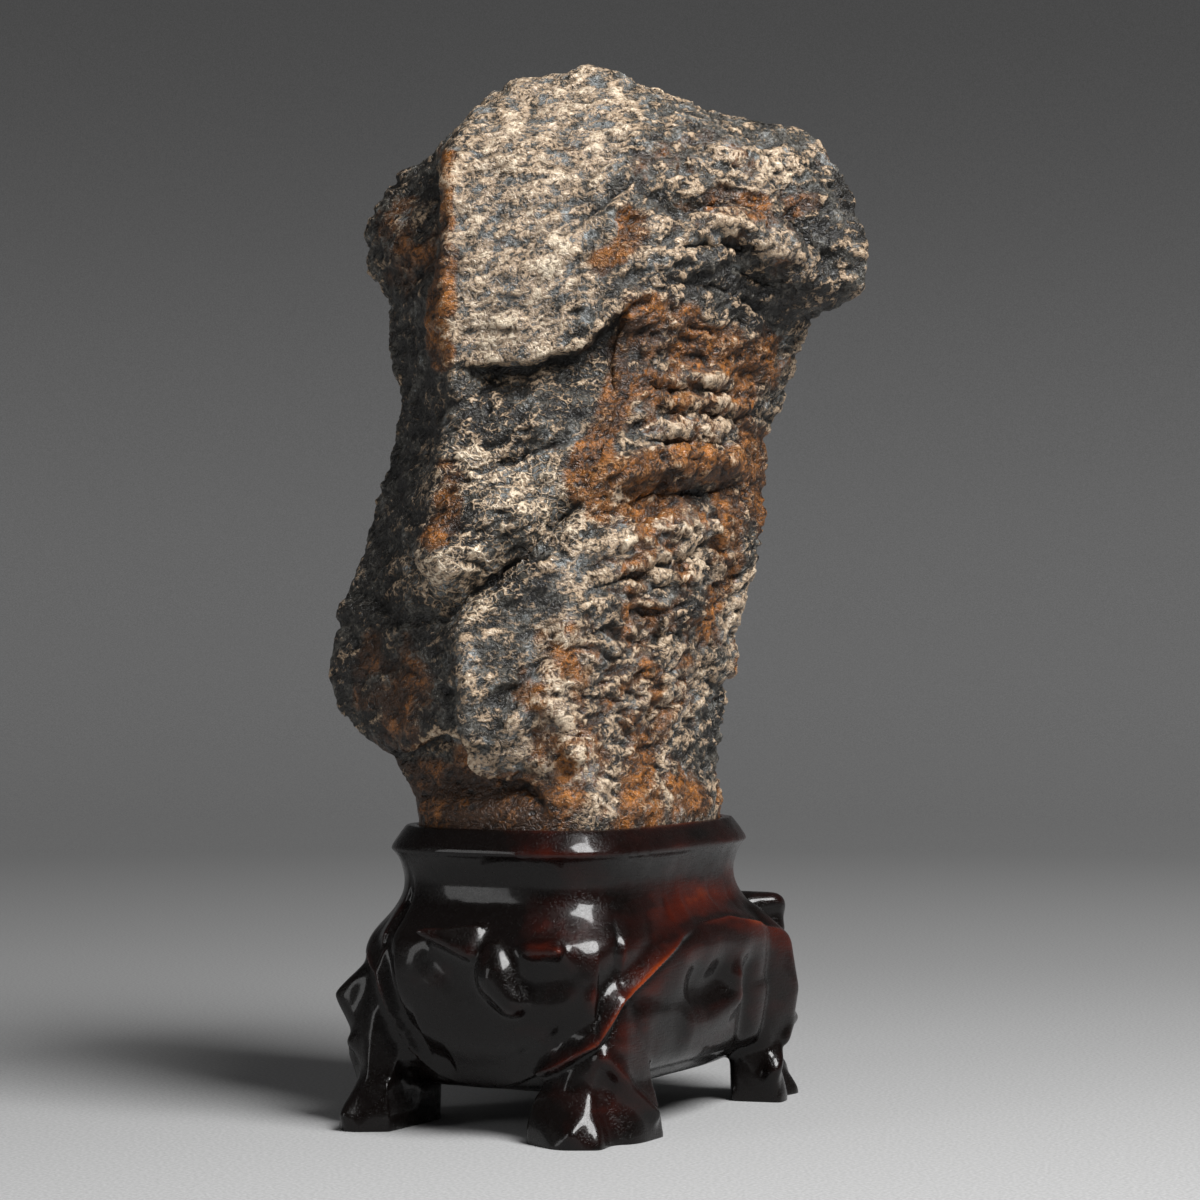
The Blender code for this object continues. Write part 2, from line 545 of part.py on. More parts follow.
def boss_meshes(sign_y):
    """The horns and the swelling between them, on one end of the stand."""
    horn = ball_points((1.6, 32.0, 28.0), 2.6, 6) + ball_points((-5.4, 34.0, 30.0), 1.1, 6)
    swelling = ball_points((6.0, 31.8, 25.2), 3.4, 6) + ball_points((7.2, 31.8, 21.4), 3.0, 6)
    second = ball_points((11.6, 31.8, 28.0), 2.6, 6) + ball_points((18.0, 34.2, 28.4), 1.4, 6)
    if sign_y > 0:
        second = (ball_points((12.4, 30.6, 28.4), 4.6, 6) + ball_points((18.2, 33.8, 29.4), 3.4, 6)
                  + ball_points((18.2, 33.8, 27.6), 3.4, 6))
    return [hull("horn", mirrored(horn, 1, sign_y)), hull("swelling", mirrored(swelling, 1, sign_y)),
            hull("second horn", mirrored(second, 1, sign_y))]


def leaf_edge(turn):
    """Height and lap of the leaf's edge at each direction round the stand."""
    half = list(LEAF_EDGE_HALF)
    knots = []
    for x, y, height, lap in half + [(-x, -y, height, lap) for x, y, height, lap in half]:
        knots.append((math.atan2(y / RIM_HALF_Y, x / RIM_HALF_X), height, lap))
    knots.sort()
    turns = [knot[0] for knot in knots]
    heights = np.interp(turn, turns, [knot[1] for knot in knots], period=2.0 * math.pi)
    laps = np.interp(turn, turns, [knot[2] for knot in knots], period=2.0 * math.pi)
    return heights, laps


def carve_stand(mesh):
    """Cut the leaf's edge and the carved strokes into the stand."""
    places, normals = read_mesh(mesh)
    turn = np.arctan2(places[:, 1] / RIM_HALF_Y, places[:, 0] / RIM_HALF_X)
    step = math.radians(1.0)
    edge, lap = leaf_edge(turn)
    slope = (leaf_edge(turn + step)[0] - leaf_edge(turn - step)[0]) / (2.0 * step * RIM_HALF_Y)
    above = (places[:, 2] - edge) / np.sqrt(1.0 + slope ** 2)
    under = -LEAF_STEP * lap * np.exp(np.minimum(above, 0.0) / LEAF_FADE)
    lip = 0.25 * lap * np.exp(-(above / 1.2) ** 2)
    flute = -LEAF_FLUTE * np.abs(lap) * np.exp(-((above - 2.2) / 0.9) ** 2)
    blend = smoothstep(-0.45, 0.45, above)
    level = np.clip(1.0 - np.abs(normals[:, 2]), 0.0, 1.0)
    foot = smoothstep(2.0, 6.0, places[:, 2])
    lift = foot * np.minimum(2.0 * level, 1.0) * (blend * (lip + flute) + (1.0 - blend) * under)
    for kind, width, size, path in STAND_RELIEF:
        for sign in (1.0, -1.0):
            turned = [(sign * x, sign * y, z) for x, y, z in path]
            distance, side, _ = path_distance(places, turned)
            lift += relief_height(kind, width, size, distance, side)
    write_mesh(mesh, places + normals * lift[:, None])


def box_cutter(name, low, high, group):
    bpy.ops.mesh.primitive_cube_add(size=1.0)
    box = bpy.context.active_object
    box.name = name
    box.scale = [(b - a) * MM for a, b in zip(low, high)]
    box.location = [(a + b) / 2.0 * MM for a, b in zip(low, high)]
    for old in list(box.users_collection):
        old.objects.unlink(box)
    group.objects.link(box)
    hide_cutter(box)
    return box


def hide_cutter(thing):
    thing.hide_render = True
    thing.display_type = "WIRE"


def socket_cutter(stone, group):
    """The stone's own foot, grown by the seat gap."""
    cutter = add_object("socket cutter", stone.data.copy(), group)
    places, normals = read_mesh(cutter.data)
    write_mesh(cutter.data, places + SEAT_GAP * normals)
    hide_cutter(cutter)
    return cutter


def cut(thing, cutter):
    difference = thing.modifiers.new(cutter.name, "BOOLEAN")
    difference.operation = "DIFFERENCE"
    difference.solver = "EXACT"
    difference.object = cutter


def make_stand(stone, group, cutters):
    meshes = [body_mesh()] + skirt_meshes() + boss_meshes(-1) + boss_meshes(1)
    for leg in LEGS:
        meshes += leg_meshes(*leg)
    stand = joined("stand", meshes, group)
    fuse(stand, 0.7, 3)
    carve_stand(stand.data)
    thin = stand.modifiers.new("facets", "DECIMATE")
    thin.ratio = STAND_TRIANGLES / (2.0 * len(stand.data.polygons))
    apply_modifiers(stand)
    cut(stand, box_cutter("ground cutter", (-60, -60, -10), (60, 60, 0), cutters))
    cut(stand, socket_cutter(stone, cutters))
    stand.data.materials.append(material("polished hardwood", (0.022, 0.009, 0.006), 0.25))
    stand.data.shade_smooth()
    stand.data.set_sharp_from_angle(angle=math.radians(50))
    return stand


def centre_on_ground(things, cutters):
    """Bring the middle of the whole part over the origin."""
    depsgraph = bpy.context.evaluated_depsgraph_get()
    corners = [thing.matrix_world @ Vector(corner)
               for thing in things for corner in thing.evaluated_get(depsgraph).bound_box]
    shift = Vector((
        -(min(c.x for c in corners) + max(c.x for c in corners)) / 2.0,
        -(min(c.y for c in corners) + max(c.y for c in corners)) / 2.0,
        0.0,
    ))
    for thing in things + cutters:
        thing.location += shift


def main():
    clear_scene()
    part = collection("scholars rock")
    cutters = collection("cutters")
    stone = make_stone(part)
    stand = make_stand(stone, part, cutters)
    centre_on_ground([stone, stand], list(cutters.objects))


main()
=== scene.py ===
# %% [markdown]
# # A scholars rock on its carved hardwood stand
#
# Collectors keep a weathered stone upright in a stand that is carved to its foot. There are
# two pieces here, the stone and the stand. The CAD model gives each one's place and main
# shape, and this script makes the surface that the eye sees: beds, pits, crust and rust on
# the stone, and a hand-carved, oiled and polished surface on the wood.

# %% The frame and the tools
import math

import bmesh
import bpy
import numpy as np
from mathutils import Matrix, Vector, noise


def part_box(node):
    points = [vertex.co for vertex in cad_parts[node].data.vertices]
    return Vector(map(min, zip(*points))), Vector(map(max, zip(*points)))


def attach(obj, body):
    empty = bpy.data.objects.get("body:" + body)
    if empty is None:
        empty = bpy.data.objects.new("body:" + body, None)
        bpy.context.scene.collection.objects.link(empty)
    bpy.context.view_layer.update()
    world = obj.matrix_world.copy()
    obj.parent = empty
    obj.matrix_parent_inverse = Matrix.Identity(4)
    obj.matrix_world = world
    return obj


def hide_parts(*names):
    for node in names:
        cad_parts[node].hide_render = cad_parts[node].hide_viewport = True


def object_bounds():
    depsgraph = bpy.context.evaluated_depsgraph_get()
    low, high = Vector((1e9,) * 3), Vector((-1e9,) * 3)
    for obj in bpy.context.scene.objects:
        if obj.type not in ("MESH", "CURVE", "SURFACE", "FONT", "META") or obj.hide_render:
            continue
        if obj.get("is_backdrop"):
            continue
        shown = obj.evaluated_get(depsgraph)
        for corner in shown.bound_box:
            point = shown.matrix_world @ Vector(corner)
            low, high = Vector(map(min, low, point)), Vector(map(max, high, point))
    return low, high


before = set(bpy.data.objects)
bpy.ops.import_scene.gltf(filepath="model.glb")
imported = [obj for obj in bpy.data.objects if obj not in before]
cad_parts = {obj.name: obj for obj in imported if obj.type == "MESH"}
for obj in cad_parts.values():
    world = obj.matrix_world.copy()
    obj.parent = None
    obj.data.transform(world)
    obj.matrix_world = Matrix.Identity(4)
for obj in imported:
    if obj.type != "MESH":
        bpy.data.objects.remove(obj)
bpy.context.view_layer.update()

MM = 0.001

# %% [markdown]
# ## The collector's view
#
# Stones have one face that their owner turns to the room. Most of the stone's features are
# laid out in that view: "across" runs to the viewer's right, "deep" runs away, and a turn
# about the vertical brings them into the stand's own axes. It is easier to place a fold where
# an eye sees it than to work out its three coordinates by hand. Lengths are in millimetres
# all through, and MM turns them into Blender's metres.

# %% The view and the stand's place
SIGHT_TURN = math.radians(28.5)
SIGHT_DISTANCE = 500.0              # from the eye to the stand's middle
SIGHT_HEIGHT = 74.0                 # the eye's height above the ground
STAND_AXIS = Vector((-3.327, -0.480, 0.0))   # the stand's middle, in the part's frame

stand_low, stand_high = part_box("stand")
print("stand, mm:", [round(v / MM, 1) for v in (*stand_low, *stand_high)])

# %% [markdown]
# ## Small tools
#
# A carved or weathered shape is easy to build in three steps: rough closed shells that
# overlap, a voxel remesh that melts them into one even skin, and then strokes that push the
# skin in or out. The even skin matters, because a stroke can only be as fine as the mesh.


# %% Shells
def mesh_from_bmesh(name, bm):
    mesh = bpy.data.meshes.new(name)
    bm.to_mesh(mesh)
    bm.free()
    return mesh


def loft(name, rings):
    """A closed skin through rings of equal count, listed from the bottom up."""
    bm = bmesh.new()
    loops = [[bm.verts.new(Vector(point) * MM) for point in ring] for ring in rings]
    count = len(rings[0])
    for low, high in zip(loops, loops[1:]):
        for i in range(count):
            j = (i + 1) % count
            bm.faces.new((low[i], low[j], high[j], high[i]))
    bm.faces.new(list(reversed(loops[0])))
    bm.faces.new(loops[-1])
    bmesh.ops.recalc_face_normals(bm, faces=bm.faces)
    return mesh_from_bmesh(name, bm)


def hull(name, points):
    """The convex hull of some points."""
    bm = bmesh.new()
    verts = [bm.verts.new(Vector(point) * MM) for point in points]
    made = bmesh.ops.convex_hull(bm, input=verts)
    spare = {part for part in made["geom_interior"] + made["geom_unused"]
             if isinstance(part, bmesh.types.BMVert)}
    bmesh.ops.delete(bm, geom=list(spare), context="VERTS")
    bmesh.ops.recalc_face_normals(bm, faces=bm.faces)
    return mesh_from_bmesh(name, bm)


def ball_points(centre, radius, steps=10):
    """Points on a ball, as the corners of a hull."""
    points = []
    for i in range(1, steps):
        tilt = math.pi * i / steps
        for j in range(2 * steps):
            turn = math.pi * j / steps
            points.append((centre[0] + radius * math.sin(tilt) * math.cos(turn),
                           centre[1] + radius * math.sin(tilt) * math.sin(turn),
                           centre[2] + radius * math.cos(tilt)))
    return points


def melted(name, meshes, voxel, rounds):
    """One object: the shells melted into an even skin and rounded a little."""
    bm = bmesh.new()
    for mesh in meshes:
        bm.from_mesh(mesh)
        bpy.data.meshes.remove(mesh)
    thing = bpy.data.objects.new(name, mesh_from_bmesh(name, bm))
    bpy.context.scene.collection.objects.link(thing)
    remesh = thing.modifiers.new("melt", "REMESH")
    remesh.mode = "VOXEL"
    remesh.voxel_size = voxel * MM
    relax = thing.modifiers.new("relax", "SMOOTH")
    relax.factor = 0.5
    relax.iterations = rounds
    bake(thing)
    print(f"{name}: {len(thing.data.vertices)} points at {voxel} mm")
    return thing


def bake(thing):
    """Replaces the object's mesh by what its modifiers make of it, and removes them."""
    depsgraph = bpy.context.evaluated_depsgraph_get()
    done = bpy.data.meshes.new_from_object(thing.evaluated_get(depsgraph))
    old = thing.data
    thing.modifiers.clear()
    thing.data = done
    bpy.data.meshes.remove(old)


def read_mesh(mesh):
    """Vertex places and normals, in millimetres."""
    count = len(mesh.vertices)
    places = np.empty(count * 3)
    mesh.vertices.foreach_get("co", places)
    normals = np.empty(count * 3, dtype=np.float32)
    mesh.vertex_normals.foreach_get("vector", normals)
    return places.reshape(-1, 3) / MM, normals.reshape(-1, 3).astype(float)


def write_mesh(mesh, places):
    mesh.vertices.foreach_set("co", (places * MM).ravel())
    mesh.update()


def store(mesh, name, values):
    """Keeps one number for each vertex, for the node trees to read."""
    held = mesh.attributes.new(name, "FLOAT", "POINT")
    held.data.foreach_set("value", np.asarray(values, dtype=np.float32))


# %% Strokes
def smoothstep(low, high, value):
    t = np.clip((value - low) / (high - low), 0.0, 1.0)
    return t * t * (3.0 - 2.0 * t)


def rounded_path(path, cuts=4):
    """A smooth curve through the path's points."""
    path = np.asarray(path, dtype=float)
    before = np.vstack([2.0 * path[0] - path[1], path, 2.0 * path[-1] - path[-2]])
    curve = []
    for p0, p1, p2, p3 in zip(before, before[1:], before[2:], before[3:]):
        for cut_number in range(cuts):
            t = cut_number / cuts
            curve.append(0.5 * (2.0 * p1 + (p2 - p0) * t
                                + (2.0 * p0 - 5.0 * p1 + 4.0 * p2 - p3) * t ** 2
                                + (3.0 * p1 - p0 - 3.0 * p2 + p3) * t ** 3))
    return np.array(curve + [path[-1]])


def stroke(points, path, reach):
    """Which points are near the path, and for those: distance, side, and distance from its ends."""
    curve = rounded_path(path)
    close = np.all((points > curve.min(0) - reach) & (points < curve.max(0) + reach), axis=1)
    found = points[close]
    lengths = np.linalg.norm(np.diff(curve, axis=0), axis=1)
    nearest = np.full(len(found), np.inf)
    side = np.zeros(len(found))
    from_end = np.zeros(len(found))
    travelled = 0.0
    for start, end, length in zip(curve, curve[1:], lengths):
        run = end - start
        along = np.clip((found - start) @ run / (run @ run), 0.0, 1.0)
        offset = found - start - along[:, None] * run
        distance = np.linalg.norm(offset, axis=1)
        closer = distance < nearest
        nearest[closer] = distance[closer]
        right = offset[:, 0] * run[1] - offset[:, 1] * run[0]
        side[closer] = np.sign(right[closer])
        place = travelled + along * length
        from_end[closer] = np.minimum(place, lengths.sum() - place)[closer]
        travelled += length
    return close, nearest, side, from_end


LEDGE_LIFT = 0.2                    # a ledge's lip, as a share of the depth cut back under it
LEDGE_UNDERCUT = 1.6                # how far the cut reaches, as a multiple of the half width


def relief_height(kind, width, size, distance, side):
    """How far a stroke lifts the surface."""
    if kind in ("ridge", "hollow"):     # round in section
        return (size if kind == "ridge" else -size) * np.exp(-(distance / width) ** 2)
    if kind == "crease":                # sharp at its bottom
        return -size * np.clip(1.0 - distance / width, 0.0, 1.0) ** 1.5
    lifted = LEDGE_LIFT * size * np.exp(-(distance / width) ** 2)
    cut = -size * np.clip(1.0 - distance / (LEDGE_UNDERCUT * width), 0.0, 1.0) ** 1.3
    blend = smoothstep(-0.5, 0.5, distance * side)
    return blend * lifted + (1.0 - blend) * cut


# %% [markdown]
# ## The stone
#
# The stone is one natural piece, about 79 mm across. Its long arrises and outlines, from
# the peak down to the foot, are eight lines; a ring at each height joins them, and the rings
# make the rough block. Sculpting by hand could do the same, but lines can be read, checked and
# repeated. The block is melted at less than half a millimetre, so the strokes come out crisp.

# %% The stone's lines
FOOT_HALF_X = 18.4                  # the stone's foot, where it enters the rim
FOOT_HALF_Y = 27.2
FOOT_SQUARENESS = 3.3
FOOT_BOTTOM = 38.6
FOOT_TOP = 47.0                     # below this the stone is worn to the socket's outline
FOOT_BLEND = 9.0
FOOT_TAPER = 0.9                    # the foot's lowest edge is rounded in to this share
FOOT_TAPER_HEIGHT = 4.0
RING_STEPS = 8
STONE_VOXEL = 0.43
STONE_ROUNDS = 9                    # rounds of smoothing that take the voxels' steps away

# (height, across, deep) from the top down
STONE_LINES = {
    "left": (
        (164.8, 5.0, -1), (164.4, 0.3, 0), (163.0, -6.8, 1), (160.5, -12.8, 2), (157.0, -16.4, 3),
        (153.8, -21.2, 5), (148.2, -27.5, 8), (139.0, -31.9, 8), (134.6, -32.8, 7),
        (128.3, -30.2, 5), (121.0, -28.8, 3), (112.6, -27.5, 1), (103.5, -28.3, 0),
        (95.9, -31.2, -2), (87.8, -32.4, -4), (83.1, -34.6, -5), (78.2, -36.8, -6),
        (70.7, -37.5, -7), (64.2, -37.0, -8), (59.1, -32.9, -9), (56.5, -27.7, -10),
        (53.9, -27.2, -11), (49.0, -25.7, -11),
    ),
    "front edge": (
        (164.6, 5.2, -2), (162.4, -2.0, -4), (158.7, -9.8, -7), (154.7, -14.4, -11),
        (148.8, -18.0, -17), (142.0, -18.7, -20), (131.4, -19.5, -22), (115.8, -18.0, -21),
        (105.9, -18.4, -20), (96.7, -20.1, -22), (86.0, -19.2, -25), (78.5, -17.2, -26),
        (68.0, -15.4, -28), (60.0, -16.0, -28), (55.2, -14.3, -25), (51.3, -11.5, -22),
    ),
    "seam": (
        (164.6, 5.5, -2), (161.8, 6.1, -4), (156.2, 8.1, -9), (150.6, 8.7, -15),
        (143.9, 7.9, -19), (134.4, 7.1, -22), (123.5, 8.9, -22), (115.8, 7.4, -21),
        (108.7, 6.6, -22), (96.5, 2.9, -25), (86.0, 0.3, -26), (73.1, -1.0, -27),
        (66.5, -2.5, -28), (58.9, 0.1, -28), (51.6, 1.8, -27),
    ),
    "flank": (
        (164.8, 6.0, -1), (159.6, 12.1, -3), (153.8, 19.8, -7), (148.3, 25.1, -10),
        (141.9, 26.5, -12), (134.1, 26.5, -12), (124.9, 24.4, -9), (116.9, 22.1, -8),
        (109.7, 20.9, -9), (97.2, 19.6, -11), (86.3, 18.0, -12), (72.5, 14.6, -12),
        (58.5, 13.8, -11), (50.8, 13.1, -11),
    ),
    "right": (
        (165.2, 6.2, 1), (162.1, 11.3, 3), (159.1, 19.6, 5), (157.1, 29.4, 6), (154.9, 38.9, 6),
        (150.3, 41.5, 5), (145.2, 44.3, 4), (140.9, 45.5, 2), (135.6, 46.6, 0), (130.2, 45.8, 1),
        (127.6, 44.0, 3), (125.5, 38.2, 6), (122.3, 37.5, 9), (116.6, 35.5, 11),
        (112.3, 33.5, 12), (108.0, 31.5, 12), (98.2, 31.2, 11), (91.7, 30.5, 10),
        (86.5, 28.8, 9), (82.8, 26.8, 8), (75.6, 26.2, 8), (70.0, 26.1, 9), (67.6, 23.8, 9),
        (59.2, 23.5, 9), (52.3, 22.4, 9),
    ),
    "back right": (
        (165.4, 5.9, 2), (162.6, 9.9, 5), (159.1, 18.9, 10), (155.4, 28.8, 15),
        (147.7, 35.5, 18), (137.8, 37.2, 18), (126.8, 30.8, 22), (108.8, 23.5, 24),
        (87.2, 19.3, 22), (64.1, 15.2, 23), (49.2, 12.7, 24),
    ),
    "back": (
        (165.6, 5.4, 3), (163.4, 2.7, 5), (159.6, -0.5, 11), (154.4, -2.1, 19),
        (143.7, -2.2, 25), (130.6, 0.3, 27), (117.1, -2.2, 24), (100.3, -4.6, 21),
        (80.6, -7.1, 22), (60.7, -5.5, 25), (49.0, -3.8, 27),
    ),
    "back left": (
        (165.4, 4.9, 2), (163.8, -2.1, 4), (160.1, -10.9, 9), (155.4, -18.4, 15),
        (146.3, -23.5, 20), (134.8, -26.5, 20), (122.9, -23.3, 16), (109.7, -22.9, 13),
        (96.6, -25.5, 10), (82.0, -28.1, 9), (67.6, -28.6, 9), (57.9, -23.8, 9),
        (49.9, -18.2, 9),
    ),
}


# %% The rough block
def foot_radius(turn, height):
    """Distance from the foot's middle to its rounded oblong outline, in one direction."""
    x = abs(math.cos(turn)) / FOOT_HALF_X
    y = abs(math.sin(turn)) / FOOT_HALF_Y
    up = float(smoothstep(FOOT_BOTTOM, FOOT_BOTTOM + FOOT_TAPER_HEIGHT, height))
    taper = FOOT_TAPER + (1.0 - FOOT_TAPER) * up
    return taper * (x ** FOOT_SQUARENESS + y ** FOOT_SQUARENESS) ** (-1.0 / FOOT_SQUARENESS)


def stone_ring(height):
    """The stone's outline at one height, in the collector's view (across, deep)."""
    corners = []
    for line in STONE_LINES.values():
        knots = sorted(line)
        heights = [knot[0] for knot in knots]
        corners.append((np.interp(height, heights, [knot[1] for knot in knots]),
                        np.interp(height, heights, [knot[2] for knot in knots])))
    foot = 1.0 - float(smoothstep(FOOT_TOP, FOOT_TOP + FOOT_BLEND, height))
    ring = []
    for start, end in zip(corners, corners[1:] + corners[:1]):
        for step in range(RING_STEPS):
            share = step / RING_STEPS
            across = start[0] + share * (end[0] - start[0])
            deep = start[1] + share * (end[1] - start[1])
            turn = math.atan2(deep, across) + SIGHT_TURN
            radius = foot_radius(turn, height)
            worn = (radius * math.cos(turn - SIGHT_TURN), radius * math.sin(turn - SIGHT_TURN))
            ring.append((across + foot * (worn[0] - across), deep + foot * (worn[1] - deep), height))
    return ring


peak = min(line[0][0] for line in STONE_LINES.values())
SHOULDER = 150.0                    # above this the outline changes faster, so rings are closer
stone_heights = [*np.arange(FOOT_BOTTOM, SHOULDER, 1.5), *np.arange(SHOULDER, peak, 0.7), peak]
stone_rings = [stone_ring(height) for height in stone_heights]
stone_skin = melted("stone_skin", [loft("block", stone_rings)], STONE_VOXEL, STONE_ROUNDS)
print(len(stone_rings), "rings, from", FOOT_BOTTOM, "to", peak, "mm")

# %% [markdown]
# ### Folds, ledges and clefts
#
# Water and frost have worked on the softer beds, and left shelves, folds and clefts. Each
# is one stroke with a name: a round ridge or hollow, a sharp crease, or a ledge that stands
# proud on one side of its path and is cut back under it on the other. The far side has its own
# strokes. Sculpting brushes could do this, but a stroke kept as numbers can be moved or
# deepened later.

# %% The strokes of the front
# kind, name, half width, height or depth, path (across, height)
FRONT_RELIEF = (
    ("ledge", "pale face shelf", 7.0, 3.4, ((10.6, 127.1), (7.7, 125.8), (4.9, 123),
     (2.4, 120.5), (-3.3, 118.9), (-8.5, 117.9), (-18.5, 117.3))),
    ("ridge", "front arris", 2.0, 0.9, ((-18.5, 153), (-19.4, 144.8), (-20.5, 133.9),
     (-20.1, 127.7), (-19.1, 117.9))),
    ("crease", "diagonal cleft", 2.2, 1.4, ((-2.1, 137.2), (0.8, 140), (5.8, 143.8),
     (11.1, 148.3))),
    ("ridge", "diagonal rib", 1.5, 1.2, ((-0.5, 137.2), (5.8, 142.1), (11.4, 146.5))),
    ("crease", "rust gully", 3.4, 1.2, ((9.6, 143.5), (8.5, 138.9), (6.6, 134.8), (5.2, 129.3))),
    ("crease", "upper fold crease", 3.2, 2.4, ((10.6, 144.2), (13.7, 143.7), (17.5, 142.1),
     (21.6, 143), (24.8, 143.2), (28, 141.9), (30.2, 140.7), (33, 138.5))),
    ("ridge", "upper fold crest", 2.6, 1.6, ((15, 141.3), (21.6, 140.8), (25.4, 140.4),
     (30, 138.9), (33.3, 135.9), (35.9, 132.5))),
    ("crease", "shoulder hollow", 8.0, 3.0, ((23.5, 133.7), (28, 131.7), (32.7, 129),
     (35.9, 126.5))),
    ("ridge", "shoulder brow", 3.5, 1.2, ((18.5, 151.4), (26.4, 149.5), (34.3, 148.3),
     (39.3, 145.7))),
    ("crease", "lump crease", 3.0, 2.0, ((32.1, 144.2), (36.8, 139.7), (40.3, 133.7),
     (40.6, 129.3))),
    ("ridge", "shoulder lump", 4.0, 1.8, ((43.1, 140), (44.7, 136.3), (43.8, 131.8))),
    ("ridge", "upper bump row", 1.5, 0.8, ((10.6, 116), (18.5, 116.8), (27.6, 116.2))),
    ("ridge", "middle bump row", 1.5, 0.9, ((9.3, 111.3), (18.5, 112.2), (29.9, 111.8))),
    ("ridge", "lower bump row", 1.5, 0.8, ((8.7, 107), (18.5, 108), (28.9, 107.5))),
    ("ridge", "rust ledge", 2.8, 1.8, ((2.4, 97.9), (6.3, 101), (10, 101.8), (17.5, 102.6),
     (25.1, 101.2), (29.9, 98.6))),
    ("crease", "rust hollow", 5.0, 2.6, ((6.2, 93.9), (10.6, 95.6), (14.5, 96.4), (20.5, 97.5),
     (26.4, 96.3), (29.1, 94.2))),
    ("ridge", "nose", 6.5, 3.0, ((-4, 96.8), (-10.7, 93.3), (-18.2, 88.5), (-24.5, 83.2))),
    ("crease", "nose crease", 3.6, 3.2, ((-26.7, 77.5), (-22.6, 77.8), (-19.1, 79.4),
     (-15.8, 82.1), (-8.5, 87), (-5.2, 90.6), (-0.6, 95.3), (3, 97.4))),
    ("crease", "knob brow", 3.4, 1.8, ((-34.9, 81.9), (-30.5, 79.4), (-26.7, 77.5))),
    ("ridge", "knob arris", 2.0, 1.2, ((-18, 77.5), (-16.6, 71.3), (-16, 67), (-16.6, 63.1),
     (-17.7, 59.1))),
    ("ledge", "knob underside", 6.5, 3.4, ((-2.1, 44.6), (-4.4, 48.7), (-6.8, 50.9),
     (-10.3, 51.7), (-15.6, 54.1), (-17.4, 58), (-22, 58.5), (-28.3, 56.1))),
    ("ridge", "pink rib", 2.4, 1.3, ((-1.1, 74), (-1.4, 69.4), (-3.8, 65.3), (-1.1, 61.7),
     (0.2, 57.4))),
    ("crease", "lower cleft", 2.0, 1.5, ((-14.1, 64), (-7.4, 67), (-3, 73.7))),
    ("crease", "seam", 1.8, 1.0, ((8.4, 119.5), (7.3, 114.3), (6.5, 107.2), (4.1, 102.8),
     (2.4, 98.3))),
    ("crease", "left lobe cleft", 4.5, 2.4, ((-22.3, 151.4), (-23.5, 142.7), (-25.1, 133.7),
     (-27.6, 127.1))),
    ("ridge", "left fin", 3.4, 1.8, ((-27.6, 145.7), (-29.9, 139.6), (-31.4, 133.7))),
    ("crease", "flank bed 1", 2.4, 0.9, ((6.2, 80), (13.7, 81.9), (21, 85.1), (26.7, 88.5))),
    ("crease", "flank bed 2", 2.4, 0.9, ((4.3, 70.2), (12.2, 74), (20.1, 76.8), (25.6, 78.7))),
    ("crease", "flank bed 3", 2.2, 0.8, ((7.4, 58.2), (15, 63.6), (22, 66.1))),
    ("crease", "waist bed 1", 2.2, 1.0, ((-16.3, 100.9), (-6.8, 103.7), (1.1, 105.6),
     (5.2, 108.1))),
    ("ridge", "waist bed 2", 2.6, 1.0, ((-17.5, 105.6), (-8.4, 108.8), (4.3, 112.6))),
    ("crease", "shoulder bed", 2.0, 0.8, ((10.6, 129.3), (18.5, 130.6), (26.4, 127.7),
     (34.3, 123))),
)

# %% The finer strokes of the front
# rows of beads, the gaps between them, thin beds, dips, and the branches of the lower rib
FRONT_DETAIL = (
    ("ridge", "first bead row", 1.1, 0.8, ((8, 115), (18, 115.4), (27, 114.4))),
    ("crease", "gap under the first row", 1.5, 1.1, ((10, 113.4), (19, 113.6), (28, 112.9))),
    ("crease", "gap under the second row", 1.6, 1.3, ((12, 109.2), (20, 109.6), (29.5, 108.9))),
    ("crease", "gap under the third row", 1.5, 1.1, ((10, 105.4), (18, 105.2), (27, 104.6))),
    ("ridge", "bed under the hollow", 1.3, 1.1, ((0.3, 87.6), (12.8, 91.2), (23.5, 94))),
    ("crease", "groove under that bed", 2.0, 1.7, ((3.5, 81.4), (15.8, 86.2), (26.7, 89.8))),
    ("ridge", "bed by the nose", 1.6, 1.1, ((-0.3, 78.4), (4.4, 79), (8.8, 80.4))),
    ("ridge", "bed below the groove", 1.3, 1.0, ((9.6, 82.2), (17, 83.8), (23.5, 86))),
    ("ridge", "bed over the dip", 1.7, 1.1, ((12.4, 75.8), (19, 77.2), (25, 77.4))),
    ("crease", "dip left of the rib", 2.4, 2.2, ((-6.8, 61.2), (-5.8, 58.4), (-5.4, 55.6))),
    ("crease", "dip over the left vein", 2.2, 2.0, ((-13.6, 64.4), (-11, 63.6), (-8.5, 63.8))),
    ("crease", "dip right of the rib", 3.0, 2.3, ((1.8, 65.6), (3.6, 63), (5.4, 60.4))),
    ("ridge", "left branch of the rib", 1.5, 1.5, ((-5, 65.6), (-9.4, 60.6), (-11.2, 55.6))),
    ("ridge", "foot of the rib", 1.6, 1.4, ((-0.6, 59.4), (0.8, 55.6), (2.4, 52.4))),
    ("crease", "right foot groove", 1.6, 1.6, ((12.6, 67.2), (13, 62), (14, 55.6))),
    ("ridge", "right foot swelling", 3.4, 1.4, ((17.4, 66.4), (19, 63.6), (20, 60.6))),
    ("crease", "brow groove", 1.6, 1.3, ((14, 136.6), (21, 137), (27, 135.8), (31, 132.4))),
    ("ridge", "brow bed", 1.4, 1.0, ((12, 134), (20, 134.6), (27, 132.8))),
)

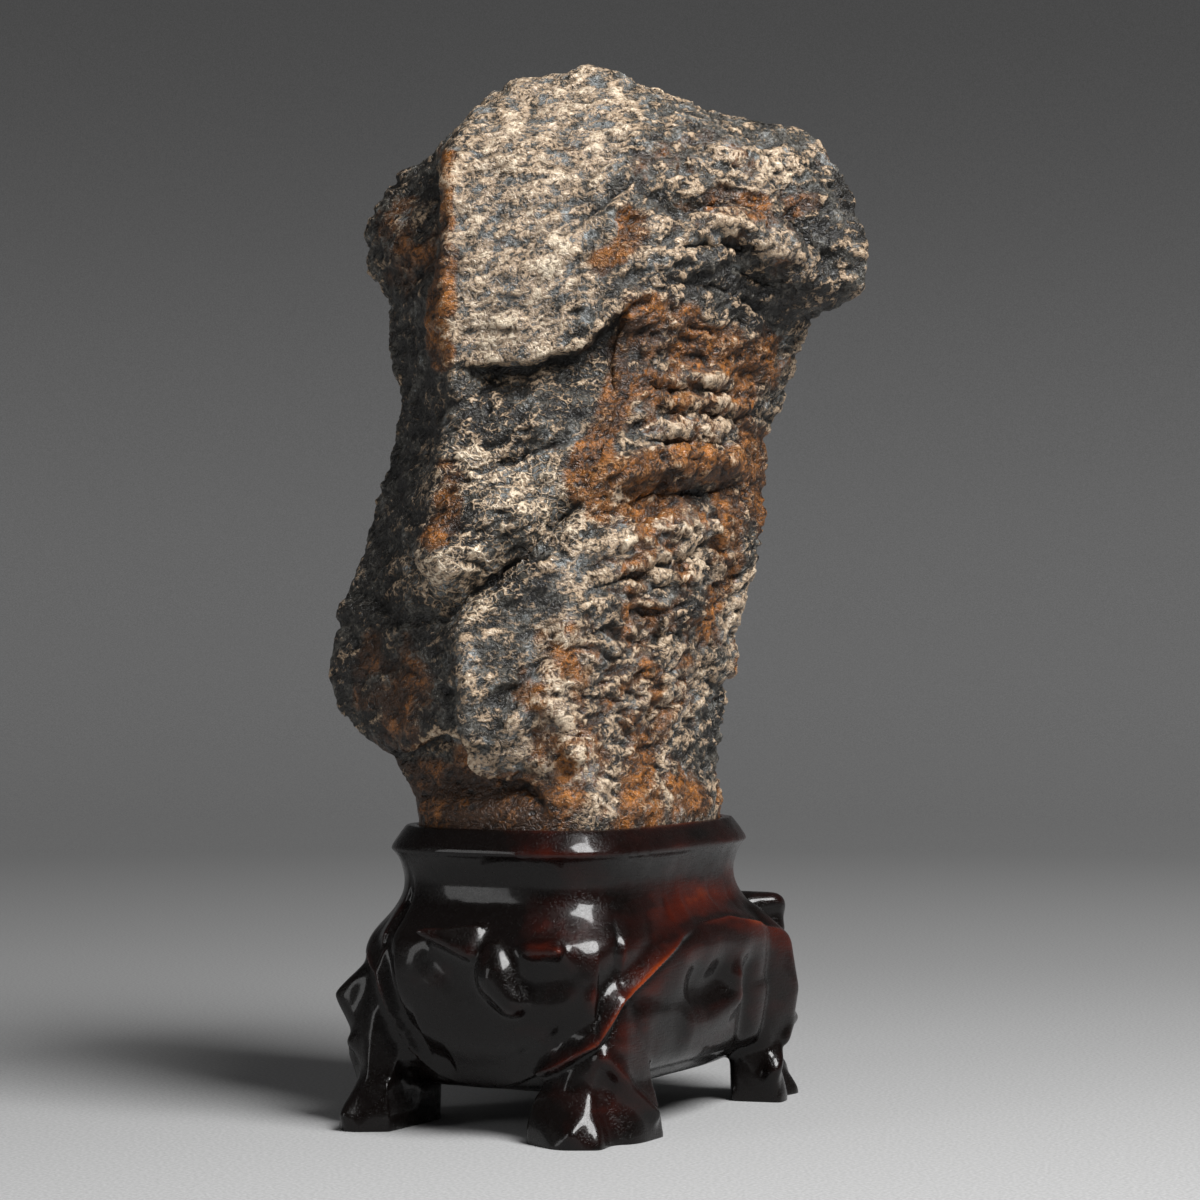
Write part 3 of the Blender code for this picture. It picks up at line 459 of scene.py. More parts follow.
# %% The strokes of the far side
BACK_RELIEF = (
    ("ledge", "back shelf", 7.0, 3.2, ((-19, 124), (-13, 119), (-5, 119.5), (3, 116), (9, 118),
     (15, 113))),
    ("ledge", "back lower shelf", 6.0, 2.4, ((10, 104), (17, 99), (22, 101), (27, 95))),
    ("crease", "back upper fold", 3.4, 2.4, ((-18, 146), (-10, 141), (-2, 143.5), (6, 140),
     (13, 143), (20, 137), (29, 140), (36, 136))),
    ("ridge", "back brow", 3.2, 1.6, ((-14, 151), (-4, 148.5), (6, 150.5), (18, 149), (30, 151))),
    ("ridge", "back rib", 3.6, 1.8, ((14, 133), (20, 124), (17, 114), (22, 106), (20, 97))),
    ("crease", "back seam", 2.6, 1.8, ((-4, 134), (-8, 127), (-5, 118), (-9, 108), (-8, 98),
     (-12, 90))),
    ("ridge", "back knee", 5.6, 2.4, ((-24, 92), (-16, 87), (-8, 88), (0, 83), (8, 86))),
    ("crease", "back knee crease", 3.6, 2.6, ((-30, 82), (-22, 78), (-14, 79), (-6, 75), (2, 78),
     (9, 83), (14, 90))),
    ("ledge", "back foot shelf", 5.4, 2.4, ((-27, 63), (-20, 59), (-12, 61), (-5, 57))),
    ("crease", "back bed 1", 2.4, 1.0, ((-20, 108), (-10, 105), (0, 106), (8, 99), (14, 92))),
    ("crease", "back bed 2", 2.4, 1.2, ((-4, 71), (4, 68), (12, 71), (21, 67))),
    ("ridge", "back bed 3", 2.6, 1.0, ((-30, 70), (-22, 67), (-12, 69), (-4, 64))),
    ("crease", "back hollow", 6.0, 2.6, ((12, 78), (17, 84))),
)


# %% Measures on the stone
def cloud(place, scale, octaves):
    """Smooth noise from about -1 to 1, with features about scale millimetres across."""
    return noise.fractal(Vector(place) / scale, 1.0, 2.0, octaves)


def to_sight(places):
    """Where the eye sees each point: across and height in the plane of the stand's middle."""
    shrink = 1.0 / (1.0 + places[:, 1] / SIGHT_DISTANCE)
    height = SIGHT_HEIGHT + (places[:, 2] - SIGHT_HEIGHT) * shrink
    return np.column_stack([places[:, 0] * shrink, height])


def turned_to_eye(places):
    """1 on the side of the stone towards the eye, -1 on the far side, 0 at its edges."""
    middles = np.array([np.mean([point[:2] for point in ring], axis=0) for ring in stone_rings])
    across = places[:, 0] - np.interp(places[:, 2], stone_heights, middles[:, 0])
    deep = places[:, 1] - np.interp(places[:, 2], stone_heights, middles[:, 1])
    return -deep / np.maximum(np.hypot(across, deep), 1e-6)


# %% Press the strokes in
RELIEF_DEPTH = 1.2                  # the visible folds are a little deeper than the plain form's
END_TAPER = 7.0                     # length over which a stroke grows from its ends
WANDER = 1.0                        # how far a stroke strays from its path
WANDER_SIZE = 9.0
END_SHARE = 0.15                    # how much of a stroke is there at its very ends
SWELL_HEIGHT, SWELL_SIZE = 1.1, 11.0     # slow unevenness of the whole stone
RIPPLE_HEIGHT, RIPPLE_SIZE = 0.45, 5.0   # quicker unevenness, flattened along the beds
CUT_CLEAR = 11.0                    # height above the foot in which cuts die out

places, normals = read_mesh(stone_skin.data)
# nothing moves inside the socket, so the foot keeps its fit; cuts start higher still
free = smoothstep(FOOT_TOP - 0.8, FOOT_TOP + 1.5, places[:, 2])
cut_free = smoothstep(FOOT_TOP, FOOT_TOP + CUT_CLEAR, places[:, 2])
seen = to_sight(places)
seen += np.array([[cloud(p, WANDER_SIZE, 2), cloud(p + 40.0, WANDER_SIZE, 2)] for p in places]) * WANDER
facing = turned_to_eye(places)
front_share = smoothstep(-0.4, 0.2, facing)
back_share = smoothstep(0.0, 0.5, -facing)
lift = np.array([SWELL_HEIGHT * cloud(p, SWELL_SIZE, 3)
                 + RIPPLE_HEIGHT * cloud(p * (1.0, 1.0, 2.2), RIPPLE_SIZE, 2) for p in places])
for strokes, share in ((FRONT_RELIEF, RELIEF_DEPTH * front_share), (FRONT_DETAIL, front_share),
                       (BACK_RELIEF, RELIEF_DEPTH * back_share)):
    for kind, _, width, size, path in strokes:
        close, distance, side, from_end = stroke(seen, path, 3.0 * width)
        taper = END_SHARE + (1.0 - END_SHARE) * smoothstep(0.0, END_TAPER, from_end)
        lift[close] += share[close] * taper * relief_height(kind, width, size, distance, side)
write_mesh(stone_skin.data, places + normals * (lift * np.where(lift < 0.0, cut_free, free))[:, None])
print(f"strokes: {len(FRONT_RELIEF) + len(FRONT_DETAIL)} in front, {len(BACK_RELIEF)} behind;",
      f"lift {lift.min():.1f} to {lift.max():.1f} mm")

# %% [markdown]
# ### Where the colours lie
#
# The stone is a dark, blue-grey, fine-grained rock with a pale crust on its worn faces, and
# iron has stained it rust brown along its seams. Five numbers at each vertex say what lies
# where: pale, dark, rust, netted (a fine raised net of crust) and folded (strong weathering).
# The dark zone also carries painted shade, on the stone's left side and under its foot's overhang.
# They are painted with the same strokes as the folds, soft at their edges, and the material
# breaks those edges up with its own grain. An image could hold them too, but it would need
# a UV map, and this skin is fine enough to hold them at its vertices.

# %% Tones
# zone, half width, strength, path (across, height)
FRONT_TONES = (
    ("pale", 13.0, 1.0, ((0, 156), (-8, 147), (-7, 136), (-9, 126))),
    ("pale", 4.0, 0.7, ((-19, 122), (-12, 121), (-4, 122), (1, 124))),
    ("pale", 4.0, 0.5, ((12, 150), (22, 148), (32, 147))),
    ("pale", 5.0, 0.5, ((15, 139), (24, 138), (33, 134))),
    ("pale", 3.5, 0.6, ((6, 96), (16, 92), (24, 90))),
    ("pale", 5.0, 0.6, ((2, 84), (10, 88), (16, 89))),
    ("pale", 4.0, 0.8, ((-2, 74), (-1, 68), (-4, 62), (0, 57))),
    ("pale", 3.0, 0.7, ((-10, 58), (-14, 56), (-22, 57))),
    ("pale", 3.0, 0.7, ((20, 67), (16, 65))),
    ("dark", 8.0, 0.9, ((-16, 112), (-6, 113), (3, 116), (7, 121))),
    ("dark", 5.0, 0.8, ((-17, 92), (-12, 86), (-8, 84))),
    # painted shade: the dark zone on the stone's left side, which faces away from the key light, is partly
    # shade painted into the colour and partly the rock's dark ground
    ("dark", 9.0, 1.0, ((-29, 150), (-28, 130), (-26, 110), (-27, 92))),
    ("dark", 10.0, 1.0, ((-33, 84), (-30, 74), (-28, 64), (-26, 58))),
    ("dark", 7.0, 1.0, ((22, 131), (30, 129), (36, 127))),
    ("dark", 7.5, 1.0, ((40, 141), (43, 134), (40, 128))),
    # painted shade: the foot under the overhang at the left is darkened past full strength, partly shade
    # painted into the colour
    ("dark", 6.5, 1.3, ((-26, 51), (-18, 48), (-8, 46))),
    ("dark", 6.0, 0.6, ((12, 148), (20, 143), (26, 137))),
    ("dark", 4.0, 0.8, ((14, 97), (22, 98), (29, 96))),
    ("dark", 4.0, 0.7, ((18, 80), (24, 78))),
    ("folded", 12.5, 1.0, ((20, 132), (20, 118), (17, 100), (13, 80), (9, 60))),
    ("folded", 8.0, 0.6, ((-12, 108), (-14, 92), (-6, 88))),
    ("folded", 9.0, 0.7, ((14, 150), (30, 146), (40, 136))),
    ("rust", 3.0, 1.0, ((9, 140), (8, 136), (5, 134))),
    ("rust", 3.2, 1.0, ((8, 120), (7, 113), (5, 106), (3, 101), (5, 98))),
    ("rust", 6.5, 1.0, ((12, 124), (17, 122), (22, 120))),
    ("rust", 5.5, 1.0, ((30, 119), (29, 112), (30, 105), (28, 97), (26, 86), (24, 76))),
    ("rust", 4.0, 1.0, ((3, 99), (10, 101), (18, 102), (27, 101))),
    ("rust", 4.5, 0.9, ((6, 95), (12, 96), (18, 98))),
    ("rust", 3.0, 0.8, ((24, 143), (28, 142))),
    ("rust", 2.0, 0.8, ((34, 142), (38, 143))),
    ("rust", 9.0, 0.7, ((10, 116), (18, 110), (22, 104))),
    ("rust", 7.0, 0.6, ((10, 70), (12, 62), (10, 54))),
    ("rust", 3.0, 0.9, ((12, 69), (12, 60), (9, 51))),
    ("rust", 7.0, 1.0, ((-26, 50), (-16, 48), (-6, 47))),
    ("rust", 6.0, 0.6, ((-2, 47), (8, 47), (20, 50))),
    ("rust", 12.0, 0.5, ((17, 90), (14, 72), (8, 56))),
    ("rust", 4.0, 0.55, ((-27, 142), (-27, 132))),
    ("rust", 8.0, 0.4, ((16, 147), (24, 145), (32, 140))),
    ("rust", 6.0, 0.6, ((-1, 74), (-2, 64), (-3, 54))),
    ("rust", 7.0, 0.65, ((-30, 70), (-27, 62))),
    ("pale", 3.5, 0.7, ((-6, 57), (-1, 53), (6, 50), (14, 50))),
    ("pale", 3.0, 0.8, ((17, 66), (19.5, 62))),
    ("pale", 3.0, 0.6, ((-26, 144), (-26, 134))),
    ("pale", 6.0, 0.45, ((-24, 84), (-17, 82), (-12, 86))),
    ("pale", 6.0, 0.4, ((-18, 99), (-8, 97), (0, 96))),
    ("netted", 8.0, 1.0, ((-18, 99), (-8, 97), (0, 96))),
    ("netted", 6.0, 1.0, ((-24, 84), (-17, 82), (-12, 86))),
    ("netted", 8.0, 0.7, ((-14, 112), (-4, 113), (4, 117))),
    ("rust", 2.0, 0.8, ((-20, 150), (-20, 135), (-20, 118))),
    ("rust", 2.5, 0.7, ((-19, 100), (-19, 90))),
)
# on the far side noise lays the zones: low and high threshold, shift, patch size, octaves
BACK_TONES = (("pale", 0.05, 0.5, 0.0, 19.0, 2), ("dark", 0.0, 0.5, 70.0, 15.0, 2),
              ("netted", 0.1, 0.4, 210.0, 14.0, 2), ("rust", 0.15, 0.5, 140.0, 16.0, 3))
BACK_FOLDED = 0.8

# %% Paint the zones
zones = {zone: np.zeros(len(places)) for zone in ("pale", "dark", "folded", "rust", "netted")}
for zone, width, strength, path in FRONT_TONES:
    close, distance, _, _ = stroke(seen, path, 1.5 * width)
    painted = front_share[close] * strength * (1.0 - smoothstep(0.45 * width, 1.3 * width, distance))
    zones[zone][close] = np.maximum(zones[zone][close], painted)
behind = 1.0 - front_share
for zone, low, high, shift, size, octaves in BACK_TONES:
    patches = np.array([cloud(p + shift, size, octaves) for p in places])
    zones[zone] += behind * smoothstep(low, high, patches)
zones["folded"] += behind * BACK_FOLDED
for zone, values in zones.items():
    store(stone_skin.data, zone, values)
    print(f"{zone}: {100.0 * np.mean(values > 0.5):.0f} % of the stone")
store(stone_skin.data, "free", free)

# %% [markdown]
# ### Weathering
#
# Beds, knobs, pits and crust cover the whole stone and follow a rule, so Geometry Nodes make
# them: noise, read in the stone's own millimetres, moves each vertex along its normal. The
# beds are sharp crests of a flattened noise and rise to the viewer's right, the knobs are
# rounded cells, the crust is the thin line where a noise passes its middle value, and the
# pits are a few deep cells. Beds, knobs and pits are calmer on the worn faces than in the
# folds. A Displace modifier could do one of these at a time, but the tree keeps them together
# under named sizes. The place before weathering is kept too, so that the material's patterns
# stay with the stone.


# %% One helper for every node
def add_node(tree, kind, inputs=(), out=0, **settings):
    """Adds a node, fills or links its inputs, and returns one of its outputs."""
    made = tree.nodes.new(kind)
    for name, value in settings.items():
        setattr(made, name, value)
    for key, value in dict(inputs).items():
        socket = made.inputs[key]
        if isinstance(value, bpy.types.NodeSocket):
            tree.links.new(value, socket)
        else:
            socket.default_value = value
    return made if out is None else made.outputs[out]


# %% The weathering tree
BED_RISE = math.radians(20.0)
BEDDING_TURN = (0.0, BED_RISE, -SIGHT_TURN)   # turns the stand's axes into the beds' own
WEATHERING = (                      # name, default (mm)
    ("Bed size", 8.0), ("Bed height", 1.3), ("Knob size", 1.9), ("Knob height", 0.42),
    ("Crust size", 1.6), ("Crust height", 0.1), ("Pit size", 3.4), ("Pit depth", 0.9),
)


def weathering_tree(finish):
    tree = bpy.data.node_groups.new("weathering", "GeometryNodeTree")
    tree.interface.new_socket("Geometry", in_out="INPUT", socket_type="NodeSocketGeometry")
    tree.interface.new_socket("Geometry", in_out="OUTPUT", socket_type="NodeSocketGeometry")
    for name, default in WEATHERING:
        socket = tree.interface.new_socket(name, in_out="INPUT", socket_type="NodeSocketFloat")
        socket.default_value = default
    given = add_node(tree, "NodeGroupInput", out=None).outputs
    free = add_node(tree, "GeometryNodeInputNamedAttribute", {"Name": "free"}, data_type="FLOAT")
    folded = add_node(tree, "GeometryNodeInputNamedAttribute", {"Name": "folded"}, data_type="FLOAT")
    position = add_node(tree, "GeometryNodeInputPosition")
    place = add_node(tree, "ShaderNodeVectorMath", {0: position, "Scale": 1.0 / MM}, operation="SCALE")
    kept = add_node(tree, "GeometryNodeStoreNamedAttribute",
                    {"Geometry": given["Geometry"], "Name": "raw_place", "Value": place},
                    data_type="FLOAT_VECTOR", domain="POINT")
    bed_scale, knob_scale, crust_scale, pit_scale = (
        add_node(tree, "ShaderNodeMath", {0: 1.0, 1: given[name]}, operation="DIVIDE")
        for name in ("Bed size", "Knob size", "Crust size", "Pit size"))

    # beds: noise flattened across the bedding, and bent by a slow noise
    bend = add_node(tree, "ShaderNodeTexNoise", {"Vector": place, "Scale": 0.09, "Detail": 1.0}, out=1)
    bend = add_node(tree, "ShaderNodeVectorMath", {0: bend, 1: (0.5, 0.5, 0.5)}, operation="SUBTRACT")
    bent = add_node(tree, "ShaderNodeVectorMath", {0: bend, 1: (9.0, 9.0, 9.0), 2: place},
                    operation="MULTIPLY_ADD")
    bedded = add_node(tree, "ShaderNodeVectorRotate",
                      {"Vector": bent, "Rotation": BEDDING_TURN}, rotation_type="EULER_XYZ")
    bedded = add_node(tree, "ShaderNodeVectorMath", {0: bedded, 1: (1.0, 1.0, 3.4)}, operation="MULTIPLY")
    beds = add_node(tree, "ShaderNodeTexNoise", {"Vector": bedded, "Scale": bed_scale, "Detail": 2.5,
                                                 "Roughness": 0.6})
    # sharp crests and round troughs: 1 on the noise's middle value, falling to both sides
    beds = add_node(tree, "ShaderNodeMath", {0: beds, 1: 0.5}, operation="SUBTRACT")
    beds = add_node(tree, "ShaderNodeMath", {0: beds}, operation="ABSOLUTE")
    beds = add_node(tree, "ShaderNodeMath", {0: beds, 1: -5.0, 2: 0.5}, operation="MULTIPLY_ADD")
    beds = add_node(tree, "ShaderNodeMath", {0: beds, 1: given["Bed height"]}, operation="MULTIPLY")

    # knobs: rounded cells, also a little flattened
    flat = add_node(tree, "ShaderNodeVectorRotate",
                    {"Vector": place, "Rotation": BEDDING_TURN}, rotation_type="EULER_XYZ")
    flat = add_node(tree, "ShaderNodeVectorMath", {0: flat, 1: (0.75, 0.75, 1.5)}, operation="MULTIPLY")
    knobs = add_node(tree, "ShaderNodeTexVoronoi", {"Vector": flat, "Scale": knob_scale}, feature="F1")
    knobs = add_node(tree, "ShaderNodeMapRange", {"Value": knobs, "From Min": 0.75, "From Max": 0.0},
                     interpolation_type="SMOOTHSTEP")
    knobs = add_node(tree, "ShaderNodeMath", {0: knobs, 1: given["Knob height"]}, operation="MULTIPLY")

    # crust: thin winding lines
    winding = add_node(tree, "ShaderNodeTexNoise", {"Vector": place, "Scale": crust_scale, "Detail": 2.4,
                                                    "Roughness": 0.6, "Distortion": 0.3})
    off = add_node(tree, "ShaderNodeMath", {0: winding, 1: 0.5}, operation="SUBTRACT")
    off = add_node(tree, "ShaderNodeMath", {0: off}, operation="ABSOLUTE")
    crust = add_node(tree, "ShaderNodeMapRange", {"Value": off, "From Min": 0.1, "From Max": 0.0},
                     interpolation_type="SMOOTHSTEP")
    crust = add_node(tree, "ShaderNodeMath", {0: crust, 1: given["Crust height"]}, operation="MULTIPLY")

    # pits: only the cells whose random number is high
    cell = add_node(tree, "ShaderNodeTexVoronoi", {"Vector": bent, "Scale": pit_scale}, out=None,
                    feature="F1")
    deep = add_node(tree, "ShaderNodeMapRange", {"Value": cell.outputs["Distance"], "From Min": 0.34,
                                                 "From Max": 0.05}, interpolation_type="SMOOTHSTEP")
    chosen = add_node(tree, "ShaderNodeMath", {0: cell.outputs["Color"], 1: 0.62}, operation="GREATER_THAN")
    pits = add_node(tree, "ShaderNodeMath", {0: deep, 1: chosen}, operation="MULTIPLY")
    pits = add_node(tree, "ShaderNodeMath", {0: pits, 1: given["Pit depth"]}, operation="MULTIPLY")

    # calmer where the stone is not folded
    calm = add_node(tree, "ShaderNodeMapRange", {"Value": folded, "To Min": 0.35, "To Max": 1.0})
    beds, knobs, pits = (add_node(tree, "ShaderNodeMath", {0: part, 1: calm}, operation="MULTIPLY")
                         for part in (beds, knobs, pits))

    total = add_node(tree, "ShaderNodeMath", {0: beds, 1: knobs}, operation="ADD")
    total = add_node(tree, "ShaderNodeMath", {0: total, 1: crust}, operation="ADD")
    total = add_node(tree, "ShaderNodeMath", {0: total, 1: pits}, operation="SUBTRACT")
    kept = add_node(tree, "GeometryNodeStoreNamedAttribute",
                    {"Geometry": kept, "Name": "height", "Value": total}, data_type="FLOAT", domain="POINT")
    shift = add_node(tree, "ShaderNodeMath", {0: total, 1: free}, operation="MULTIPLY")
    shift = add_node(tree, "ShaderNodeMath", {0: shift, 1: MM}, operation="MULTIPLY")
    normal = add_node(tree, "GeometryNodeInputNormal")
    offset = add_node(tree, "ShaderNodeVectorMath", {0: normal, "Scale": shift}, operation="SCALE")
    moved = add_node(tree, "GeometryNodeSetPosition", {"Geometry": kept, "Offset": offset})
    # how far each vertex stands out from its neighbourhood: hollows below zero, edges above
    here = add_node(tree, "GeometryNodeInputPosition")
    around = add_node(tree, "GeometryNodeBlurAttribute", {"Value": here, "Iterations": 10},
                      data_type="FLOAT_VECTOR")
    apart = add_node(tree, "ShaderNodeVectorMath", {0: here, 1: around}, operation="SUBTRACT")
    proud = add_node(tree, "ShaderNodeVectorMath", {0: apart, 1: add_node(tree, "GeometryNodeInputNormal")},
                     out="Value", operation="DOT_PRODUCT")
    proud = add_node(tree, "ShaderNodeMath", {0: proud, 1: 1.0 / MM}, operation="MULTIPLY")
    moved = add_node(tree, "GeometryNodeStoreNamedAttribute",
                     {"Geometry": moved, "Name": "proud", "Value": proud}, data_type="FLOAT", domain="POINT")
    real = add_node(tree, "GeometryNodeRealizeInstances", {"Geometry": moved})
    finished = add_node(tree, "GeometryNodeSetMaterial", {"Geometry": real, "Material": finish})
    add_node(tree, "NodeGroupOutput", {"Geometry": finished}, out=None)
    return tree


# %% [markdown]
# ### The stone's material
#
# The rock is a fine-grained, iron-bearing metamorphic stone, weathered in the open and then
# lightly waxed. To the eye that is a dark blue-grey ground in islands, a raised crust in tan and
# cream that is thick on the pale faces and breaks up into flecks and a net elsewhere, rust where
# iron has washed out, darker cracks and pits, and small glints where the wax lies on the
# grains. Each of these is one noise with a size in millimetres, pushed up or down by the painted
# zones. The hollows are darkened too, which is painted shade. The refractive index is that of
# quartz and feldspar, about 1.54.


# %% Colours
def linear(hex_colour):
    """An sRGB colour such as '55524B' as the linear numbers that shaders use."""
    channels = [int(hex_colour[i:i + 2], 16) / 255.0 for i in (0, 2, 4)]
    return (*[c / 12.92 if c <= 0.04045 else ((c + 0.055) / 1.055) ** 2.4 for c in channels], 1.0)


CHARCOAL = linear("1C1915")         # the ground, from its darkest to its lightest islands
SLATE = linear("55524B")
BLUE_GREY = linear("939797")
TAN = linear("AE957A")              # thin crust
BROWN = linear("946941")            # thin crust over rust
CREAM = linear("DECBB0")            # thick crust
RUST_DARK = linear("402815")        # iron stain, on dark and on light ground
RUST = linear("A66A32")


# %% Weathered stone
def weathered_stone():
    finish = bpy.data.materials.new("waxed weathered stone")
    finish.use_nodes = True
    tree = finish.node_tree
    tree.nodes.clear()
    place = add_node(tree, "ShaderNodeAttribute", {}, out="Vector", attribute_name="raw_place")
    pale, dark, rust, netted, height, proud = (
        add_node(tree, "ShaderNodeAttribute", {}, out="Fac", attribute_name=name)
        for name in ("pale", "dark", "rust", "netted", "height", "proud"))

    # every mark follows the bedding: it is longer along the beds than across them
    bedded = add_node(tree, "ShaderNodeVectorRotate",
                      {"Vector": place, "Rotation": BEDDING_TURN}, rotation_type="EULER_XYZ")
    bedded = add_node(tree, "ShaderNodeVectorMath", {0: bedded, 1: (0.9, 0.9, 1.15)}, operation="MULTIPLY")
    stir = add_node(tree, "ShaderNodeTexNoise", {"Vector": place, "Scale": 1.0 / 1.5, "Detail": 2.0},
                    out="Color")
    stirred = add_node(tree, "ShaderNodeVectorMath", {0: stir, 1: (1.4, 1.4, 1.4), 2: bedded},
                       operation="MULTIPLY_ADD")

    # what the marks are made from: a net of cells 1.2 mm across, flecks of 0.6 mm, blotches of
    # 2.5 mm, islands of 3.5 mm and patches of 6 mm
    cells = add_node(tree, "ShaderNodeTexVoronoi", {"Vector": stirred, "Scale": 1.0 / 1.2},
                     feature="DISTANCE_TO_EDGE")
    net = add_node(tree, "ShaderNodeMapRange", {"Value": cells, "From Min": 0.16, "From Max": 0.02},
                   interpolation_type="SMOOTHSTEP")
    noises = []
    for size, detail, source in ((0.62, 3.0, stirred), (2.5, 5.0, bedded), (3.5, 4.0, place),
                                 (6.0, 4.0, place)):
        noises.append(add_node(tree, "ShaderNodeTexNoise", {"Vector": source, "Scale": 1.0 / size,
                                                            "Detail": detail, "Roughness": 0.62}))
    fleck, blotch, island, patch = noises

    # the ground's tone: islands of lighter and darker grey
    tone = add_node(tree, "ShaderNodeMath", {0: fleck, 1: 0.6, 2: island}, operation="MULTIPLY_ADD")
    tone = add_node(tree, "ShaderNodeMath", {0: pale, 1: 0.16, 2: tone}, operation="MULTIPLY_ADD")
    # the dark zone lowers the ground's tone; on the left side and under the foot's overhang this is partly
    # painted shade
    tone = add_node(tree, "ShaderNodeMath", {0: dark, 1: -0.12, 2: tone}, operation="MULTIPLY_ADD")
    greys = add_node(tree, "ShaderNodeValToRGB", {"Fac": tone}, out=None)
    stops = greys.color_ramp.elements
    stops[0].position, stops[0].color = 0.67, CHARCOAL
    stops[1].position, stops[1].color = 0.84, SLATE
    stops.new(1.0).color = BLUE_GREY

    # rust lies between the crests, and fades out in patches
    crest = add_node(tree, "ShaderNodeMapRange", {"Value": height, "From Min": -0.1, "From Max": 0.75},
                     interpolation_type="SMOOTHSTEP")
    soak = add_node(tree, "ShaderNodeMath", {0: patch, 1: 0.5}, operation="SUBTRACT")
    soak = add_node(tree, "ShaderNodeMath", {0: soak, 1: 2.4, 2: rust}, operation="MULTIPLY_ADD")
    soak = add_node(tree, "ShaderNodeMath", {0: fleck, 1: -0.9, 2: soak}, operation="MULTIPLY_ADD")
    soak = add_node(tree, "ShaderNodeMath", {0: crest, 1: -0.3, 2: soak}, operation="MULTIPLY_ADD")
    soak = add_node(tree, "ShaderNodeMapRange", {"Value": soak, "From Min": -0.2, "From Max": 0.3},
                    interpolation_type="SMOOTHSTEP")
    burnt = add_node(tree, "ShaderNodeMapRange", {"Value": tone, "From Min": 0.68, "From Max": 0.98})
    stain = add_node(tree, "ShaderNodeMix", {0: burnt, 6: RUST_DARK, 7: RUST}, out=2, data_type="RGBA")
    ground = add_node(tree, "ShaderNodeMix", {0: soak, 6: greys.outputs["Color"], 7: stain}, out=2,
                      data_type="RGBA")

    # the pale crust: blotches, flecks and a fine net, thick on the pale faces and the crests, and
    # tinged by iron in the rust
    cover = add_node(tree, "ShaderNodeMath", {0: fleck, 1: 0.9, 2: blotch}, operation="MULTIPLY_ADD")
    netting = add_node(tree, "ShaderNodeMath", {0: net, 1: netted}, operation="MULTIPLY")
    # the dark zone also thins the crust, so its painted shade darkens the crust too
    for source, share in ((net, 0.02), (netting, 0.26), (netted, -0.05), (pale, 0.17), (dark, -0.14),
                          (soak, -0.1), (crest, 0.08), (proud, 0.35), (patch, -0.7)):
        cover = add_node(tree, "ShaderNodeMath", {0: source, 1: share, 2: cover}, operation="MULTIPLY_ADD")
    thick = add_node(tree, "ShaderNodeMapRange", {"Value": cover, "From Min": 0.84, "From Max": 1.1},
                     interpolation_type="SMOOTHSTEP")
    cover = add_node(tree, "ShaderNodeMapRange", {"Value": cover, "From Min": 0.63, "From Max": 0.83,
                                                  "To Max": 0.9}, interpolation_type="SMOOTHSTEP")
    tinged = add_node(tree, "ShaderNodeMath", {0: rust, 1: -0.6, 2: 1.0}, operation="MULTIPLY_ADD")
    thick = add_node(tree, "ShaderNodeMath", {0: thick, 1: tinged}, operation="MULTIPLY")
    shell = add_node(tree, "ShaderNodeMix", {0: soak, 6: TAN, 7: BROWN}, out=2, data_type="RGBA")
    shell = add_node(tree, "ShaderNodeMix", {0: thick, 6: shell, 7: CREAM}, out=2, data_type="RGBA")
    colour = add_node(tree, "ShaderNodeMix", {0: cover, 6: ground, 7: shell}, out=2, data_type="RGBA")

    # the colour is darker in the fine cracks and small round pits of the bump, most of all in the rust, and
    # in the mesh's hollows, where the darkening is painted shade
    cell = add_node(tree, "ShaderNodeTexVoronoi", {"Vector": stirred, "Scale": 1.0 / 1.9}, out=None,
                    feature="F1")
    pits = add_node(tree, "ShaderNodeMapRange", {"Value": cell.outputs["Distance"], "From Min": 0.38,
                                                 "From Max": 0.2}, interpolation_type="SMOOTHSTEP")
    often = add_node(tree, "ShaderNodeMath", {0: rust, 1: -0.3, 2: 0.75}, operation="MULTIPLY_ADD")
    chosen = add_node(tree, "ShaderNodeMath", {0: cell.outputs["Color"], 1: often}, operation="GREATER_THAN")
    pits = add_node(tree, "ShaderNodeMath", {0: pits, 1: chosen}, operation="MULTIPLY")
    pit_tone = add_node(tree, "ShaderNodeMath", {0: pits, 1: -0.75, 2: 1.0}, operation="MULTIPLY_ADD")
    cracks = add_node(tree, "ShaderNodeMapRange", {"Value": fleck, "From Min": 0.34, "From Max": 0.5,
                                                   "To Min": 0.35, "To Max": 1.05})
    # painted shade: the colour darkens where the surface lies below its neighbourhood
    deep = add_node(tree, "ShaderNodeMapRange", {"Value": proud, "From Min": -0.3, "From Max": 0.1,
                                                 "To Min": 0.25, "To Max": 1.1})
    shade = add_node(tree, "ShaderNodeMath", {0: cracks, 1: deep}, operation="MULTIPLY")
    shade = add_node(tree, "ShaderNodeMath", {0: shade, 1: pit_tone}, operation="MULTIPLY")
    shade = add_node(tree, "ShaderNodeCombineColor", {0: shade, 1: shade, 2: shade})
    colour = add_node(tree, "ShaderNodeMix", {0: 1.0, 6: colour, 7: shade}, out=2, data_type="RGBA",
                      blend_type="MULTIPLY")

    # relief too fine for the mesh: flecks, crust, net and pits; a height of 1 is 0.7 mm
    rough = add_node(tree, "ShaderNodeMath", {0: cover, 1: 0.25, 2: fleck}, operation="MULTIPLY_ADD")
    rough = add_node(tree, "ShaderNodeMath", {0: netting, 1: 0.2, 2: rough}, operation="MULTIPLY_ADD")
    rough = add_node(tree, "ShaderNodeMath", {0: pits, 1: -0.3, 2: rough}, operation="MULTIPLY_ADD")
    bump = add_node(tree, "ShaderNodeBump", {"Height": rough, "Strength": 1.0, "Distance": 0.7 * MM})
